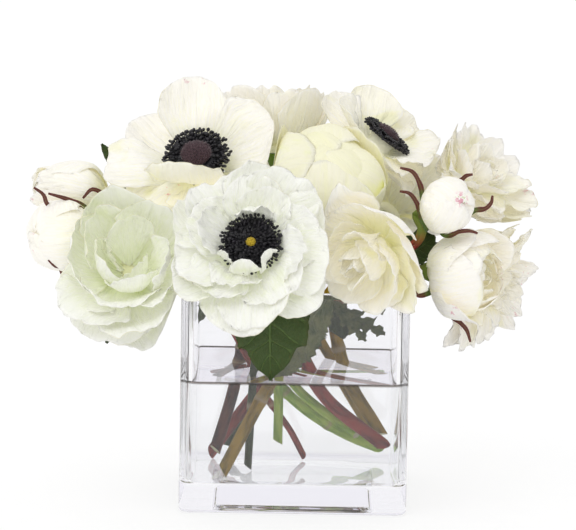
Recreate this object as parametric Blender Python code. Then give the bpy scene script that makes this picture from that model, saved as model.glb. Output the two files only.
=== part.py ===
"""White roses, anemones, peonies and dahlias in a glass cube vase, in metres.

The origin is the centre of the vase's underside and +Z is up. The front, which the
photograph shows, looks towards -Y. Each bloom, each disc of stamens, each button and each
leafy stem is one solid. A petal is a thin blade: a round sheet that is stretched along a
bent midline, cupped across, and given its thickness along its own normals.
"""

import math

import bmesh
import bpy
import numpy as np

# Vase: a five-inch cube of clear glass with a thick floor.
VASE_WIDTH = 0.127
VASE_HEIGHT = 0.125
WALL = 0.0045
FLOOR = 0.016
OUTER_CORNER = 0.0055
INNER_CORNER = 0.0060
FOOT_ROUND = 0.0028
RIM_ROUND = 0.0015
CORNER_STEPS = 3
WATER_LEVEL = 0.074

# Fits between pieces that touch.
GAP = 0.0003
CUT_MARGIN = 0.0001
STEM_CLEAR = 0.0017
GLASS_CLEAR = 0.0008

# Blades: petals, sepals and leaves.
BLADE = 0.0007
LEAF_BLADE = 0.0008
CELL_MARGIN = 0.0009
CELL_SOFTNESS = 0.008
MIDLINE_REACH = 1.4
MIDLINE_STEPS = 140
PETAL_SHOULDER = 0.6
PETAL_TIP_WIDTH = 0.35
WIDTH_SPREAD = 0.08
LENGTH_SPREAD = 0.05
TURN_SPREAD = 5
LIFT_SPREAD = (0.5, 2.5, 5)
RUFFLE_WAVES = 5
LEAF_RISE = 0.65
LEAF_FALL = 0.75
STALK_HALF = 0.0007
SEPAL_WIDTH = 0.0044

# Receptacle, the flat-bottomed core that a bloom's petals grow from.
CORE_DROP = 0.0035
CALYX_FLARE = 0.009
CORE_SIDES = 6

# Stems.
STEM_SIDES = 6
STEM_SAMPLES = 33
SAMPLES_PER_RING = 5
BRANCH_RINGS = 6
BRANCH_THINNER = 0.8
STRAIGHT_NECK = 0.010
SETTLE_ROUNDS = 160
PUSH_SHARE = 0.4
STRAIGHTEN_SHARE = 0.3

INNER_HALF = VASE_WIDTH / 2 - WALL

COLOURS = {
    "glass": (0.90, 0.92, 0.93),
    "water": (0.86, 0.90, 0.90),
    "cream": (0.87, 0.84, 0.74),
    "mint": (0.80, 0.86, 0.72),
    "lemon": (0.86, 0.88, 0.62),
    "stamen": (0.03, 0.03, 0.04),
    "plum": (0.13, 0.08, 0.08),
    "yellow": (0.62, 0.55, 0.10),
    "brown_stem": (0.14, 0.07, 0.05),
    "red_stem": (0.24, 0.08, 0.07),
    "olive_stem": (0.24, 0.18, 0.06),
    "green_stem": (0.26, 0.36, 0.10),
    "dark_stem": (0.09, 0.13, 0.05),
}


def unit(vector):
    vector = np.asarray(vector, float)
    return vector / np.linalg.norm(vector)


def bloom_frame(facing):
    """Right, up and facing of a bloom, as seen by someone who looks into it."""
    facing = unit(facing)
    right = np.array((-facing[1], facing[0], 0.0))
    right = np.array((1.0, 0.0, 0.0)) if np.linalg.norm(right) < 0.2 else unit(right)
    return np.array((right, np.cross(facing, right), facing))


def ring(count, length, width, lift, cup, **more):
    """One whorl of petals: its lifts are the midline's slopes at the root, half way and tip."""
    whorl = dict(root=0.004, height=0.0, tip=0.0, ruffle=0.0, roll=10, neck=0.3, turn=0, grid=(2, 3))
    whorl.update(count=count, length=length, width=width, lift=lift, cup=cup)
    whorl.update(more)
    return whorl


KINDS = {
    "anemone": dict(
        core=((0.0065, -CORE_DROP), (0.0080, 0.0), (0.0065, 0.0092)),
        rings=(
            ring(5, 0.043, 0.042, (6, 40, 6), 30, grid=(3, 3)),
            ring(4, 0.038, 0.036, (14, 56, 14), 34, turn=36, height=0.001),
        ),
    ),
    "frilled anemone": dict(
        core=((0.0065, -CORE_DROP), (0.0080, 0.0), (0.0065, 0.0088)),
        rings=(
            ring(5, 0.042, 0.045, (2, 28, -10), 20, ruffle=0.0012, grid=(3, 3)),
            ring(4, 0.036, 0.036, (10, 52, 12), 30, turn=24, height=0.001),
            ring(3, 0.028, 0.024, (4, 16, 96), 24, turn=10, height=0.002, grid=(2, 2)),
        ),
    ),
    "peony": dict(
        core=((0.008, -CORE_DROP), (0.010, 0.0), (0.006, 0.005)),
        rings=(
            ring(5, 0.056, 0.050, (4, 56, 92), 46, root=0.005),
            ring(4, 0.046, 0.040, (14, 72, 98), 52, root=0.004, turn=30, height=0.001),
            ring(3, 0.034, 0.028, (34, 84, 106), 60, root=0.003, turn=12, height=0.002, grid=(2, 2)),
        ),
    ),
    "small peony": dict(
        core=((0.007, -CORE_DROP), (0.009, 0.0), (0.006, 0.005)),
        rings=(
            ring(5, 0.048, 0.042, (4, 56, 84), 46, root=0.005),
            ring(3, 0.041, 0.038, (16, 72, 92), 52, root=0.004, turn=30, height=0.001, grid=(2, 2)),
            ring(3, 0.031, 0.024, (36, 84, 100), 60, root=0.003, turn=12, height=0.002, grid=(2, 2)),
        ),
    ),
    "globe": dict(
        core=((0.009, -CORE_DROP), (0.012, 0.002), (0.016, 0.014), (0.015, 0.028), (0.007, 0.038)),
        rings=(
            ring(4, 0.072, 0.058, (-4, 76, 172), 66, root=0.006, tip=0.03, roll=6),
            ring(4, 0.066, 0.044, (8, 88, 170), 74, root=0.004, turn=42, height=0.001, tip=0.03, roll=6),
        ),
    ),
    "open rose": dict(
        core=((0.0065, -CORE_DROP), (0.008, 0.0), (0.006, 0.006), (0.004, 0.016)),
        rings=(
            ring(5, 0.040, 0.042, (5, 48, 50), 40),
            ring(4, 0.034, 0.034, (18, 66, 76), 52, turn=36, height=0.001),
            ring(3, 0.028, 0.026, (45, 88, 98), 66, root=0.003, turn=15, height=0.002, grid=(2, 2)),
        ),
    ),
    "closed rose": dict(
        core=((0.0065, -CORE_DROP), (0.009, 0.0), (0.010, 0.008), (0.007, 0.022), (0.003, 0.028)),
        rings=(
            ring(4, 0.048, 0.046, (0, 76, 112), 66, roll=6),
            ring(3, 0.043, 0.036, (10, 86, 108), 74, turn=45, height=0.001, roll=6),
        ),
    ),
    "bud": dict(
        core=((0.0045, -CORE_DROP), (0.006, 0.0), (0.008, 0.010), (0.005, 0.020), (0.002, 0.025)),
        rings=(ring(3, 0.042, 0.044, (5, 90, 168), 84, root=0.002, neck=0.5, tip=0.03, roll=7),),
    ),
    "long bud": dict(
        core=((0.0045, -CORE_DROP), (0.006, 0.0), (0.008, 0.014), (0.005, 0.028), (0.002, 0.034)),
        rings=(ring(3, 0.053, 0.038, (42, 84, 150), 84, root=0.003, neck=0.5, tip=0.03, roll=7),),
    ),
    "dahlia": dict(
        core=((0.0065, -CORE_DROP), (0.008, 0.0), (0.006, 0.006)),
        rings=(
            ring(7, 0.036, 0.018, (14, 10, -8), 26, tip=0.22, grid=(2, 2)),
            ring(5, 0.030, 0.017, (42, 34, 20), 26, tip=0.22, turn=26, height=0.001, grid=(2, 2)),
            ring(3, 0.022, 0.013, (70, 76, 84), 30, tip=0.2, turn=10, height=0.002, grid=(2, 2)),
        ),
    ),
}

# Planes that hold a bloom off the vase's rim: a point on the rim and the way that is barred.
LEFT_RIM = ((-VASE_WIDTH / 2, 0, VASE_HEIGHT), (0.94, 0, -0.34))
RIGHT_RIM = ((VASE_WIDTH / 2, 0, VASE_HEIGHT), (-0.94, 0, -0.34))
FRONT_RIM = ((0, -VASE_WIDTH / 2, VASE_HEIGHT), (0, 0.75, -0.66))
BACK_RIM = ((0, VASE_WIDTH / 2, VASE_HEIGHT), (0, -0.75, -0.66))
RIM_LEVEL = ((0, 0, VASE_HEIGHT + 0.001), (0, 0, -1))


def bloom(name, kind, base, facing, room, middle, colour, **more):
    """A bloom: base is where its petals grow, room its reach from the middle of its body."""
    flower = dict(turn=0, size=1.0, clear=(), extra=(), sepal_lift=(-12, 26, -30))
    flower.update(name=name, kind=kind, base=np.array(base), facing=unit(facing), room=room, colour=colour)
    flower.update(middle=np.array(base) + middle * unit(facing))
    flower.update(more)
    return flower


DROOPING_PETALS = (ring(2, 0.037, 0.034, (-6, -18, 6), 24, turn=216, height=-0.001),)

BLOOMS = (
    bloom("anemone_left", "anemone", (-0.056, 0.002, 0.184), (-0.10, -0.70, 0.70), 0.056, 0.012, "cream",
          turn=54, size=1.24),
    bloom("anemone_front", "frilled anemone", (-0.0245, -0.0756, 0.150), (-0.05, -0.87, 0.49), 0.050, 0.012,
          "mint", turn=24, size=1.10, clear=(FRONT_RIM,)),
    bloom("anemone_right", "anemone", (0.0435, 0.021, 0.195), (0.60, -0.09, 0.79), 0.040, 0.012, "cream",
          turn=20),
    bloom("anemone_back", "anemone", (0.0, 0.076, 0.149), (0.0, 0.85, 0.5), 0.042, 0.012, "cream",
          turn=10, clear=(BACK_RIM,)),
    bloom("peony_left", "peony", (-0.093, -0.037, 0.130), (0.05, -0.85, 0.52), 0.038, 0.020, "mint",
          turn=20, clear=(LEFT_RIM,), extra=DROOPING_PETALS),
    bloom("peony_back", "small peony", (0.052, 0.050, 0.154), (0.5, 0.7, 0.4), 0.034, 0.016, "cream",
          clear=(RIM_LEVEL,)),
    bloom("ranunculus_top", "globe", (0.0135, 0.004, 0.162), (0.1, -0.60, 0.79), 0.042, 0.026, "lemon",
          turn=40, size=1.16),
    bloom("cream_bloom_top", "small peony", (-0.013, 0.045, 0.193), (0.0, 0.15, 0.98), 0.031, 0.018, "cream",
          turn=15),
    bloom("rose_front", "open rose", (0.045, -0.053, 0.151), (-0.42, -0.86, -0.28), 0.032, 0.014, "cream",
          turn=30, size=1.06, clear=(FRONT_RIM,)),
    bloom("rose_right", "closed rose", (0.080, -0.0253, 0.133), (0.8, -0.57, 0.1), 0.024, 0.018, "cream",
          turn=10, clear=(RIGHT_RIM,)),
    bloom("rose_back", "open rose", (-0.060, 0.040, 0.154), (-0.5, 0.7, 0.5), 0.030, 0.016, "cream",
          turn=0, clear=(RIM_LEVEL,)),
    bloom("bud_left_upper", "long bud", (-0.105, 0.014, 0.165), (-0.97, -0.16, 0.18), 0.023, 0.024, "cream",
          sepal_lift=(8, 58, 96)),
    bloom("bud_left_lower", "bud", (-0.118, 0.003, 0.149), (-0.80, -0.59, -0.05), 0.026, 0.018, "cream",
          size=1.36, sepal_lift=(-5, 50, 95)),
    bloom("bud_right", "bud", (0.0763, -0.0343, 0.1688), (0.5, -0.82, 0.28), 0.018, 0.013, "cream"),
    bloom("dahlia_upper", "dahlia", (0.094, 0.0185, 0.174), (0.62, -0.35, 0.7), 0.030, 0.008, "cream",
          turn=8),
    bloom("dahlia_lower", "dahlia", (0.103, 0.014, 0.124), (0.82, -0.48, -0.25), 0.033, 0.008, "cream",
          turn=20, size=1.06, clear=(RIGHT_RIM,)),
)

# The black disc and its button, for each bloom that has one.
DISCS = {
    "anemone_left": ("stamens_left", "button_left", "plum", 1.0),
    "anemone_front": ("stamens_front", "eye_front", "yellow", 0.45),
    "anemone_right": ("stamens_right", "button_right", "plum", 1.0),
    "anemone_back": ("stamens_back", "button_back", "plum", 1.0),
}
DISC_RADIUS = 0.0105
DISC_HEIGHT = 0.0032
STAMEN_REACH = 0.0172
STAMEN_COUNT = 12
DISC_SIDES = 8
BUTTON_RADIUS = 0.0078
BUTTON_HEIGHT = 0.0046


def mesh_object(name, points, faces, colour):
    mesh = bpy.data.meshes.new(name)
    mesh.from_pydata(np.asarray(points).tolist(), [], [list(map(int, face)) for face in faces])
    mesh.validate()
    made = bpy.data.objects.new(name, mesh)
    bpy.context.scene.collection.objects.link(made)
    made.data.materials.append(finish(colour))
    return made


def finish(colour):
    """A plain material of this colour, made once."""
    found = bpy.data.materials.get(colour)
    if found:
        return found
    material = bpy.data.materials.new(colour)
    material.use_nodes = True
    shader = material.node_tree.nodes["Principled BSDF"]
    shader.inputs["Base Color"].default_value = (*COLOURS[colour], 1)
    shader.inputs["Roughness"].default_value = 0.05 if colour in ("glass", "water") else 0.6
    shader.inputs["Metallic"].default_value = 0.0
    return material


def fuse(name, solids, colour):
    """One solid from closed ones: a single Boolean union on a collection, applied."""
    parts = bpy.data.collections.new(name + " parts")
    bpy.context.scene.collection.children.link(parts)
    first = mesh_object(name, *solids[0], colour)
    for number, (points, faces) in enumerate(solids[1:]):
        piece = mesh_object(f"{name}_{number}", points, faces, colour)
        bpy.context.scene.collection.objects.unlink(piece)
        parts.objects.link(piece)
    if len(solids) > 1:
        joined(first, parts, "UNION")
    return first


def largest_body(mesh):
    """Keeps the largest connected shell: loose scraps go, and a hollow sealed by fusing is filled."""
    model = bmesh.new()
    model.from_mesh(mesh)
    left = set(model.verts)
    shells = []
    while left:
        shell, front = set(), [left.pop()]
        while front:
            point = front.pop()
            shell.add(point)
            near = {edge.other_vert(point) for edge in point.link_edges} & left
            left -= near
            front.extend(near)
        shells.append(shell)
    shells.sort(key=len)
    for shell in shells[:-1]:
        bmesh.ops.delete(model, geom=list(shell), context="VERTS")
    model.to_mesh(mesh)
    model.free()
    return mesh


def joined(target, parts, operation):
    """Applies one Boolean with every object of the collection, then removes them."""
    boolean = target.modifiers.new(operation.lower(), "BOOLEAN")
    boolean.operation = operation
    boolean.operand_type = "COLLECTION"
    boolean.collection = parts
    boolean.solver = "MANIFOLD"
    bpy.context.view_layer.update()
    graph = bpy.context.evaluated_depsgraph_get()
    shape = largest_body(bpy.data.meshes.new_from_object(target.evaluated_get(graph)))
    target.modifiers.clear()
    target.data = shape
    for piece in list(parts.objects):
        bpy.data.objects.remove(piece)
    bpy.data.collections.remove(parts)


def rounded_square(half, corner, height):
    """A ring of points round a square with rounded corners, counter-clockwise from above."""
    turns = np.linspace(0, math.pi / 2, CORNER_STEPS + 1)
    points = []
    for quarter, (side_x, side_y) in enumerate(((1, 1), (-1, 1), (-1, -1), (1, -1))):
        angles = turns + quarter * math.pi / 2
        x = side_x * (half - corner) + corner * np.cos(angles)
        y = side_y * (half - corner) + corner * np.sin(angles)
        points.append(np.stack((x, y, np.full_like(x, height)), axis=1))
    return np.concatenate(points)


def lofted(rings):
    """Closed solid through rings of points: sides between them, flat caps at both ends."""
    around = len(rings[0])
    points = np.concatenate(rings)
    faces = []
    for level in range(len(rings) - 1):
        for place in range(around):
            beside = (place + 1) % around
            low = level * around
            faces.append((low + place, low + beside, low + around + beside, low + around + place))
    faces.append(tuple(range(around))[::-1])
    faces.append(tuple(range((len(rings) - 1) * around, len(rings) * around)))
    return points, faces


def make_vase():
    half = VASE_WIDTH / 2
    inner = INNER_HALF
    rings = []
    for angle in (0, 45, 90):
        turn = math.radians(angle)
        inset = FOOT_ROUND * (1 - math.sin(turn))
        height = FOOT_ROUND * (1 - math.cos(turn))
        rings.append(rounded_square(half - inset, OUTER_CORNER - 0.6 * inset, height))
    for angle in (0, 60, 120, 180):
        turn = math.radians(angle)
        inset = RIM_ROUND * (1 - math.cos(turn))
        height = VASE_HEIGHT - RIM_ROUND * (1 - math.sin(turn))
        rings.append(rounded_square(half - inset, OUTER_CORNER - 0.5 * inset, height))
    rings.append(rounded_square(inner, INNER_CORNER, VASE_HEIGHT - 2.2 * RIM_ROUND))
    for angle in (0, 45, 90):
        turn = math.radians(angle)
        inset = INNER_CORNER * 0.5 * (1 - math.cos(turn))
        height = FLOOR + INNER_CORNER * 0.5 * (1 - math.sin(turn))
        rings.append(rounded_square(inner - inset, INNER_CORNER - 0.5 * inset, height))
    mesh_object("glass_vase", *lofted(rings), "glass")


def make_water(stems):
    """The water fills the vase to its level, with a plain hole for each stem."""
    inner = INNER_HALF - GAP
    foot = INNER_CORNER * 0.5
    rings = [
        rounded_square(inner - foot, INNER_CORNER - 0.5 * foot, FLOOR + GAP),
        rounded_square(inner - foot * 0.29, INNER_CORNER - 0.5 * foot * 0.29, FLOOR + GAP + foot * 0.29),
        rounded_square(inner, INNER_CORNER, FLOOR + GAP + foot),
        rounded_square(inner, INNER_CORNER, WATER_LEVEL),
    ]
    water = mesh_object("water", *lofted(rings), "water")
    holes = bpy.data.collections.new("holes")
    bpy.context.scene.collection.children.link(holes)
    for stem in stems:
        path, radii = stem["path"], stem["radii"]
        below = int(np.argmax(path[:, 2] > WATER_LEVEL + stem["radii"][0])) + 1
        path = path[:below].copy()
        path[0] -= (GAP + CUT_MARGIN) * unit(path[1] - path[0])
        cutter = mesh_object("hole", *tube(path, radii[:below] + GAP + CUT_MARGIN), "water")
        bpy.context.scene.collection.objects.unlink(cutter)
        holes.objects.link(cutter)
    joined(water, holes, "DIFFERENCE")


def turned(profile, sides):
    """Closed solid of revolution about the bloom's own axis, from (radius, height) pairs upwards."""
    angles = np.arange(sides) * 2 * math.pi / sides
    rings = []
    for radius, height in profile:
        level = np.full(sides, height)
        rings.append(np.stack((radius * np.cos(angles), radius * np.sin(angles), level), axis=1))
    return lofted(rings)


def disc_grid(across, along):
    """A square grid drawn into the unit disc, so that its border is the disc's rim."""
    a = np.linspace(-1, 1, across + 1)[:, None]
    b = np.linspace(-1, 1, along + 1)[None, :]
    return a * np.sqrt(1 - b * b / 2), b * np.sqrt(1 - a * a / 2)


def midline(lift, length, reach):
    """Distance out, height and slope along a line whose slope is a quadratic curve of the lifts."""
    t = np.linspace(0, MIDLINE_REACH, MIDLINE_STEPS + 1)
    held = np.minimum(t, 1)
    slope = np.radians((1 - held) ** 2 * lift[0] + 2 * held * (1 - held) * lift[1] + held**2 * lift[2])
    step = length * MIDLINE_REACH / MIDLINE_STEPS
    out = np.concatenate(((0,), np.cumsum(np.cos(slope[:-1])))) * step
    up = np.concatenate(((0,), np.cumsum(np.sin(slope[:-1])))) * step
    return np.interp(reach, t, out), np.interp(reach, t, up), np.interp(reach, t, slope)


def swept_blade(reach, side, raised, lift, length, root, height, azimuth, cup_radius):
    """Places a flat outline on its bent midline: side is cupped, raised lies along the inner normal."""
    out, up, slope = midline(lift, length, reach)
    bend = side / cup_radius
    off = cup_radius * (1 - np.cos(bend)) + raised
    lateral = cup_radius * np.sin(bend)
    radial = root + out - off * np.sin(slope)
    level = height + up + off * np.cos(slope)
    c, s = math.cos(azimuth), math.sin(azimuth)
    return np.stack((radial * c - lateral * s, radial * s + lateral * c, level), axis=-1)


def petal_sheet(whorl, azimuth, chance, size):
    """The middle surface of one petal, in its bloom's frame."""
    across, along = whorl["grid"]
    x, y = disc_grid(across, along)
    reach = (y + 1) / 2
    taper = whorl["neck"] + (1 - whorl["neck"]) * np.clip(reach / PETAL_SHOULDER, 0, 1)
    reach = reach + whorl["tip"] * np.exp(-((x / PETAL_TIP_WIDTH) ** 2)) * np.maximum(0, y) ** 2
    width = whorl["width"] * size * (1 + WIDTH_SPREAD * chance[0])
    length = whorl["length"] * size * (1 + LENGTH_SPREAD * chance[1])
    side = x * taper * width / 2
    cup_radius = width / 2 / math.radians(whorl["cup"])
    edge = (x * x + y * y) ** 2
    around = np.arctan2(x, y)
    raised = side * math.tan(math.radians(whorl["roll"]))
    raised = raised + whorl["ruffle"] * size * edge * np.sin(RUFFLE_WAVES * around + 3 * chance[2])
    lift = np.array(whorl["lift"]) + np.array(LIFT_SPREAD) * chance[3]
    return swept_blade(
        reach, side, raised, lift, length, whorl["root"] * size, whorl["height"] * size, azimuth, cup_radius
    )


def grid_normals(sheet):
    """Normals of a grid of points, each the mean of the normals of the cells round it."""
    cell = np.cross(sheet[1:, 1:] - sheet[:-1, :-1], sheet[:-1, 1:] - sheet[1:, :-1])
    cell /= np.linalg.norm(cell, axis=-1, keepdims=True)
    total = np.zeros_like(sheet)
    total[:-1, :-1] += cell
    total[1:, :-1] += cell
    total[:-1, 1:] += cell
    total[1:, 1:] += cell
    return total / np.linalg.norm(total, axis=-1, keepdims=True)


def thickened(sheet, blade):
    """A closed blade from its middle surface, both faces split into triangles alike."""
    normals = grid_normals(sheet)
    rows, columns = sheet.shape[:2]
    count = rows * columns
    points = np.concatenate(
        ((sheet + normals * blade / 2).reshape(-1, 3), (sheet - normals * blade / 2).reshape(-1, 3))
    )
    faces = []
    for i in range(rows - 1):
        for j in range(columns - 1):
            a, b = i * columns + j, (i + 1) * columns + j
            corner = (i < (rows - 1) / 2) != (j < (columns - 1) / 2)
            halves = ((a, b, a + 1), (b, b + 1, a + 1)) if corner else ((a, b, b + 1), (a, b + 1, a + 1))
            for one, two, three in halves:
                faces.append((one, two, three))
                faces.append((count + three, count + two, count + one))
    border = [(i, 0) for i in range(rows)]
    border += [(rows - 1, j) for j in range(1, columns)]
    border += [(i, columns - 1) for i in range(rows - 2, -1, -1)]
    border += [(0, j) for j in range(columns - 2, 0, -1)]
    edge = [i * columns + j for i, j in border]
    for here, there in zip(edge, edge[1:] + edge[:1]):
        faces.append((here, count + here, count + there))
        faces.append((here, count + there, there))
    return points, faces


def cell_planes(flower):
    """Planes that keep a bloom's petals in its own space: one to each near bloom, and the rim's."""
    planes = [(np.array(point), unit(barred)) for point, barred in flower["clear"]]
    for other in BLOOMS:
        away = other["middle"] - flower["middle"]
        distance = np.linalg.norm(away)
        if other is flower or distance > 1.5 * (flower["room"] + other["room"]):
            continue
        share = flower["room"] / (flower["room"] + other["room"])
        planes.append((flower["middle"] + share * away, away / distance))
    return planes


def held_in(points, planes):
    """Bends a sheet back from each plane: points slow down as they near it and never reach it."""
    for place, barred in planes:
        depth = (points - place) @ barred + CELL_MARGIN
        over = np.maximum(0, depth + CELL_SOFTNESS)
        held = np.where(over > 0, -CELL_SOFTNESS * np.exp(-over / CELL_SOFTNESS), depth)
        points = points + (held - depth)[..., None] * barred
    return points


def make_bloom(flower, seed):
    kind = KINDS[flower["kind"]]
    size = flower["size"]
    frame = bloom_frame(flower["facing"])
    planes = cell_planes(flower)
    random = np.random.default_rng(seed)
    profile = [(radius * size, level if level < 0 else level * size) for radius, level in kind["core"]]
    core_points, core_faces = turned(profile, CORE_SIDES)
    solids = [(core_points @ frame + flower["base"], core_faces)]
    for whorl in (*kind["rings"], *flower["extra"]):
        spread = 360 / whorl["count"] if whorl not in flower["extra"] else 46
        for number in range(whorl["count"]):
            chance = random.uniform(-1, 1, 4)
            azimuth = math.radians(flower["turn"] + whorl["turn"] + number * spread + TURN_SPREAD * chance[1])
            sheet = petal_sheet(whorl, azimuth, chance, size) @ frame + flower["base"]
            solids.append(thickened(held_in(sheet, planes), BLADE))
    fuse(flower["name"], solids, flower["colour"])


def make_disc(flower):
    """The disc of black stamens on its bloom's core, and the button or eye on the disc."""
    stamens, button, colour, share = DISCS[flower["name"]]
    size = flower["size"]
    frame = bloom_frame(flower["facing"])
    seat = KINDS[flower["kind"]]["core"][-1][1] * size + GAP
    radius, thick = DISC_RADIUS * size, DISC_HEIGHT * size
    profile = ((radius * 0.7, seat), (radius, seat + thick * 0.4), (radius * 0.9, seat + thick))
    solids = [turned(profile, DISC_SIDES)]
    for number in range(STAMEN_COUNT):
        azimuth = 2 * math.pi * number / STAMEN_COUNT
        reach = size * (STAMEN_REACH - 0.0016 * (number % 2))
        rise = seat + thick * (0.55 + 0.75 * (number % 2))
        solids.append(drumstick(azimuth, radius * 0.7, reach, seat + thick * 0.5, rise, 0.0013 * size))
    fuse(stamens, [(points @ frame + flower["base"], faces) for points, faces in solids], "stamen")
    top = seat + thick + GAP
    wide = BUTTON_RADIUS * size * share
    tall = BUTTON_HEIGHT * size * (1 if share == 1 else 0.6)
    profile = [(wide * math.cos(a) + 0.0003, top + tall * math.sin(a)) for a in np.radians((0, 25, 50, 72))]
    points, faces = turned(profile, DISC_SIDES)
    bumps = 1 + 0.06 * np.cos(6 * np.arctan2(points[:, 1], points[:, 0]))
    points[:, :2] *= bumps[:, None]
    mesh_object(button, points @ frame + flower["base"], faces, colour)


def drumstick(azimuth, start, reach, low, high, knob):
    """One stamen: a three-sided spindle from the disc, thickest near its outer end."""
    along = np.array((math.cos(azimuth), math.sin(azimuth), 0.0))
    across = np.array((-along[1], along[0], 0.0))
    root = start * along + (0, 0, low)
    tip = reach * along + (0, 0, high)
    waist = root + 0.72 * (tip - root)
    turns = np.radians((90, 210, 330))
    girth = [waist + knob * (math.cos(a) * across + math.sin(a) * np.array((0, 0, 1.0))) for a in turns]
    points = np.array([root, *girth, tip])
    faces = []
    for here, there in ((1, 2), (2, 3), (3, 1)):
        faces.append((0, there, here))
        faces.append((4, here, there))
    return points, faces


def smooth_route(points, count):
    """A smooth curve through the points, read at even steps of its length."""
    points = np.asarray(points, float)
    lengths = np.concatenate(((0,), np.cumsum(np.linalg.norm(np.diff(points, axis=0), axis=1))))
    slopes = np.gradient(points, lengths, axis=0)
    fine = np.linspace(0, lengths[-1], 200)
    part = np.clip(np.searchsorted(lengths, fine, side="right") - 1, 0, len(points) - 2)
    span = lengths[part + 1] - lengths[part]
    t = ((fine - lengths[part]) / span)[:, None]
    span = span[:, None]
    curve = (2 * t**3 - 3 * t**2 + 1) * points[part] + (t**3 - 2 * t**2 + t) * span * slopes[part]
    curve += (3 * t**2 - 2 * t**3) * points[part + 1] + (t**3 - t**2) * span * slopes[part + 1]
    walked = np.concatenate(((0,), np.cumsum(np.linalg.norm(np.diff(curve, axis=0), axis=1))))
    even = np.linspace(0, walked[-1], count)
    return np.stack([np.interp(even, walked, curve[:, axis]) for axis in range(3)], axis=1)


def settled(routes, radii):
    """Pushes crossing stems apart and keeps them off the glass, as stems lie in a full vase."""
    routes = np.array(routes)
    start = routes.copy()
    number, samples = routes.shape[:2]
    owner = np.repeat(np.arange(number), samples)
    radius = np.repeat(radii, samples)
    need = radius[:, None] + radius[None, :] + STEM_CLEAR
    need[owner[:, None] == owner[None, :]] = 0
    place = np.arange(samples)
    free = np.clip(np.minimum(place / 3, (samples - 1 - place) / 4), 0, 1)[None, :, None]
    for _ in range(SETTLE_ROUNDS):
        points = routes.reshape(-1, 3)
        apart = points[:, None] - points[None]
        distance = np.maximum(np.linalg.norm(apart, axis=-1), 1e-6)
        push = np.maximum(0, need - distance) / distance
        step = (push[..., None] * apart).sum(axis=1) * PUSH_SHARE
        moved = routes + step.reshape(routes.shape) * free - start
        bent = moved[:, :-2] + moved[:, 2:] - 2 * moved[:, 1:-1]
        moved[:, 1:-1] += STRAIGHTEN_SHARE * bent * free[:, 1:-1]
        routes = off_the_glass(start + moved, radii[:, None])
    return routes


def off_the_glass(routes, radii):
    """A point of a stem is either inside the walls or above the rim, whichever is nearer."""
    limit = INNER_HALF - radii - GLASS_CLEAR
    outward = np.abs(routes[..., :2]).max(axis=-1) - limit
    sunk = VASE_HEIGHT + radii + GLASS_CLEAR - routes[..., 2]
    through = (outward > 0) & (sunk > 0)
    inward = through & (outward <= sunk)
    for axis in (0, 1):
        kept = np.clip(routes[..., axis], -limit, limit)
        routes[..., axis] = np.where(inward, kept, routes[..., axis])
    routes[..., 2] = np.where(through & ~inward, routes[..., 2] + sunk, routes[..., 2])
    return routes


def tube(path, radii):
    """A round bar along a path; each ring of points is square to the path."""
    along = np.gradient(path, axis=0)
    along[-1] = path[-1] - path[-2]
    along[0] = path[1] - path[0]
    along /= np.linalg.norm(along, axis=1, keepdims=True)
    side = np.cross(along, (0.8, 0.6, 0.0))
    side /= np.linalg.norm(side, axis=1, keepdims=True)
    other = np.cross(along, side)
    angles = np.arange(STEM_SIDES) * 2 * math.pi / STEM_SIDES
    turns = np.cos(angles)[None, :, None] * side[:, None] + np.sin(angles)[None, :, None] * other[:, None]
    rings = path[:, None] + turns * np.asarray(radii)[:, None, None]
    return lofted(list(rings))


def leaf(share, along, face, length, width, lift, notch=0.25, stalk=0.12, fold=24, rows=7, ribs=3):
    """A leaf: share is its place on its stem's length, along and face its first direction and upper side."""
    return dict(share=share, along=along, face=face, length=length, width=width, lift=lift, notch=notch,
                stalk=stalk, fold=fold, rows=rows, ribs=ribs)


def stem(name, colour, width, foot, via, blooms, leaves=(), calyx=0.006, branch=(), sepals=()):
    return dict(name=name, colour=colour, radius=width / 2, foot=foot, via=via, blooms=blooms, leaves=leaves,
                calyx=calyx, branch=branch, sepals=sepals)


# Lifts of a leaf that folds over the vase's rim and hangs down outside it.
FOLD_OVER = (5, -110, -88)

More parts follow.
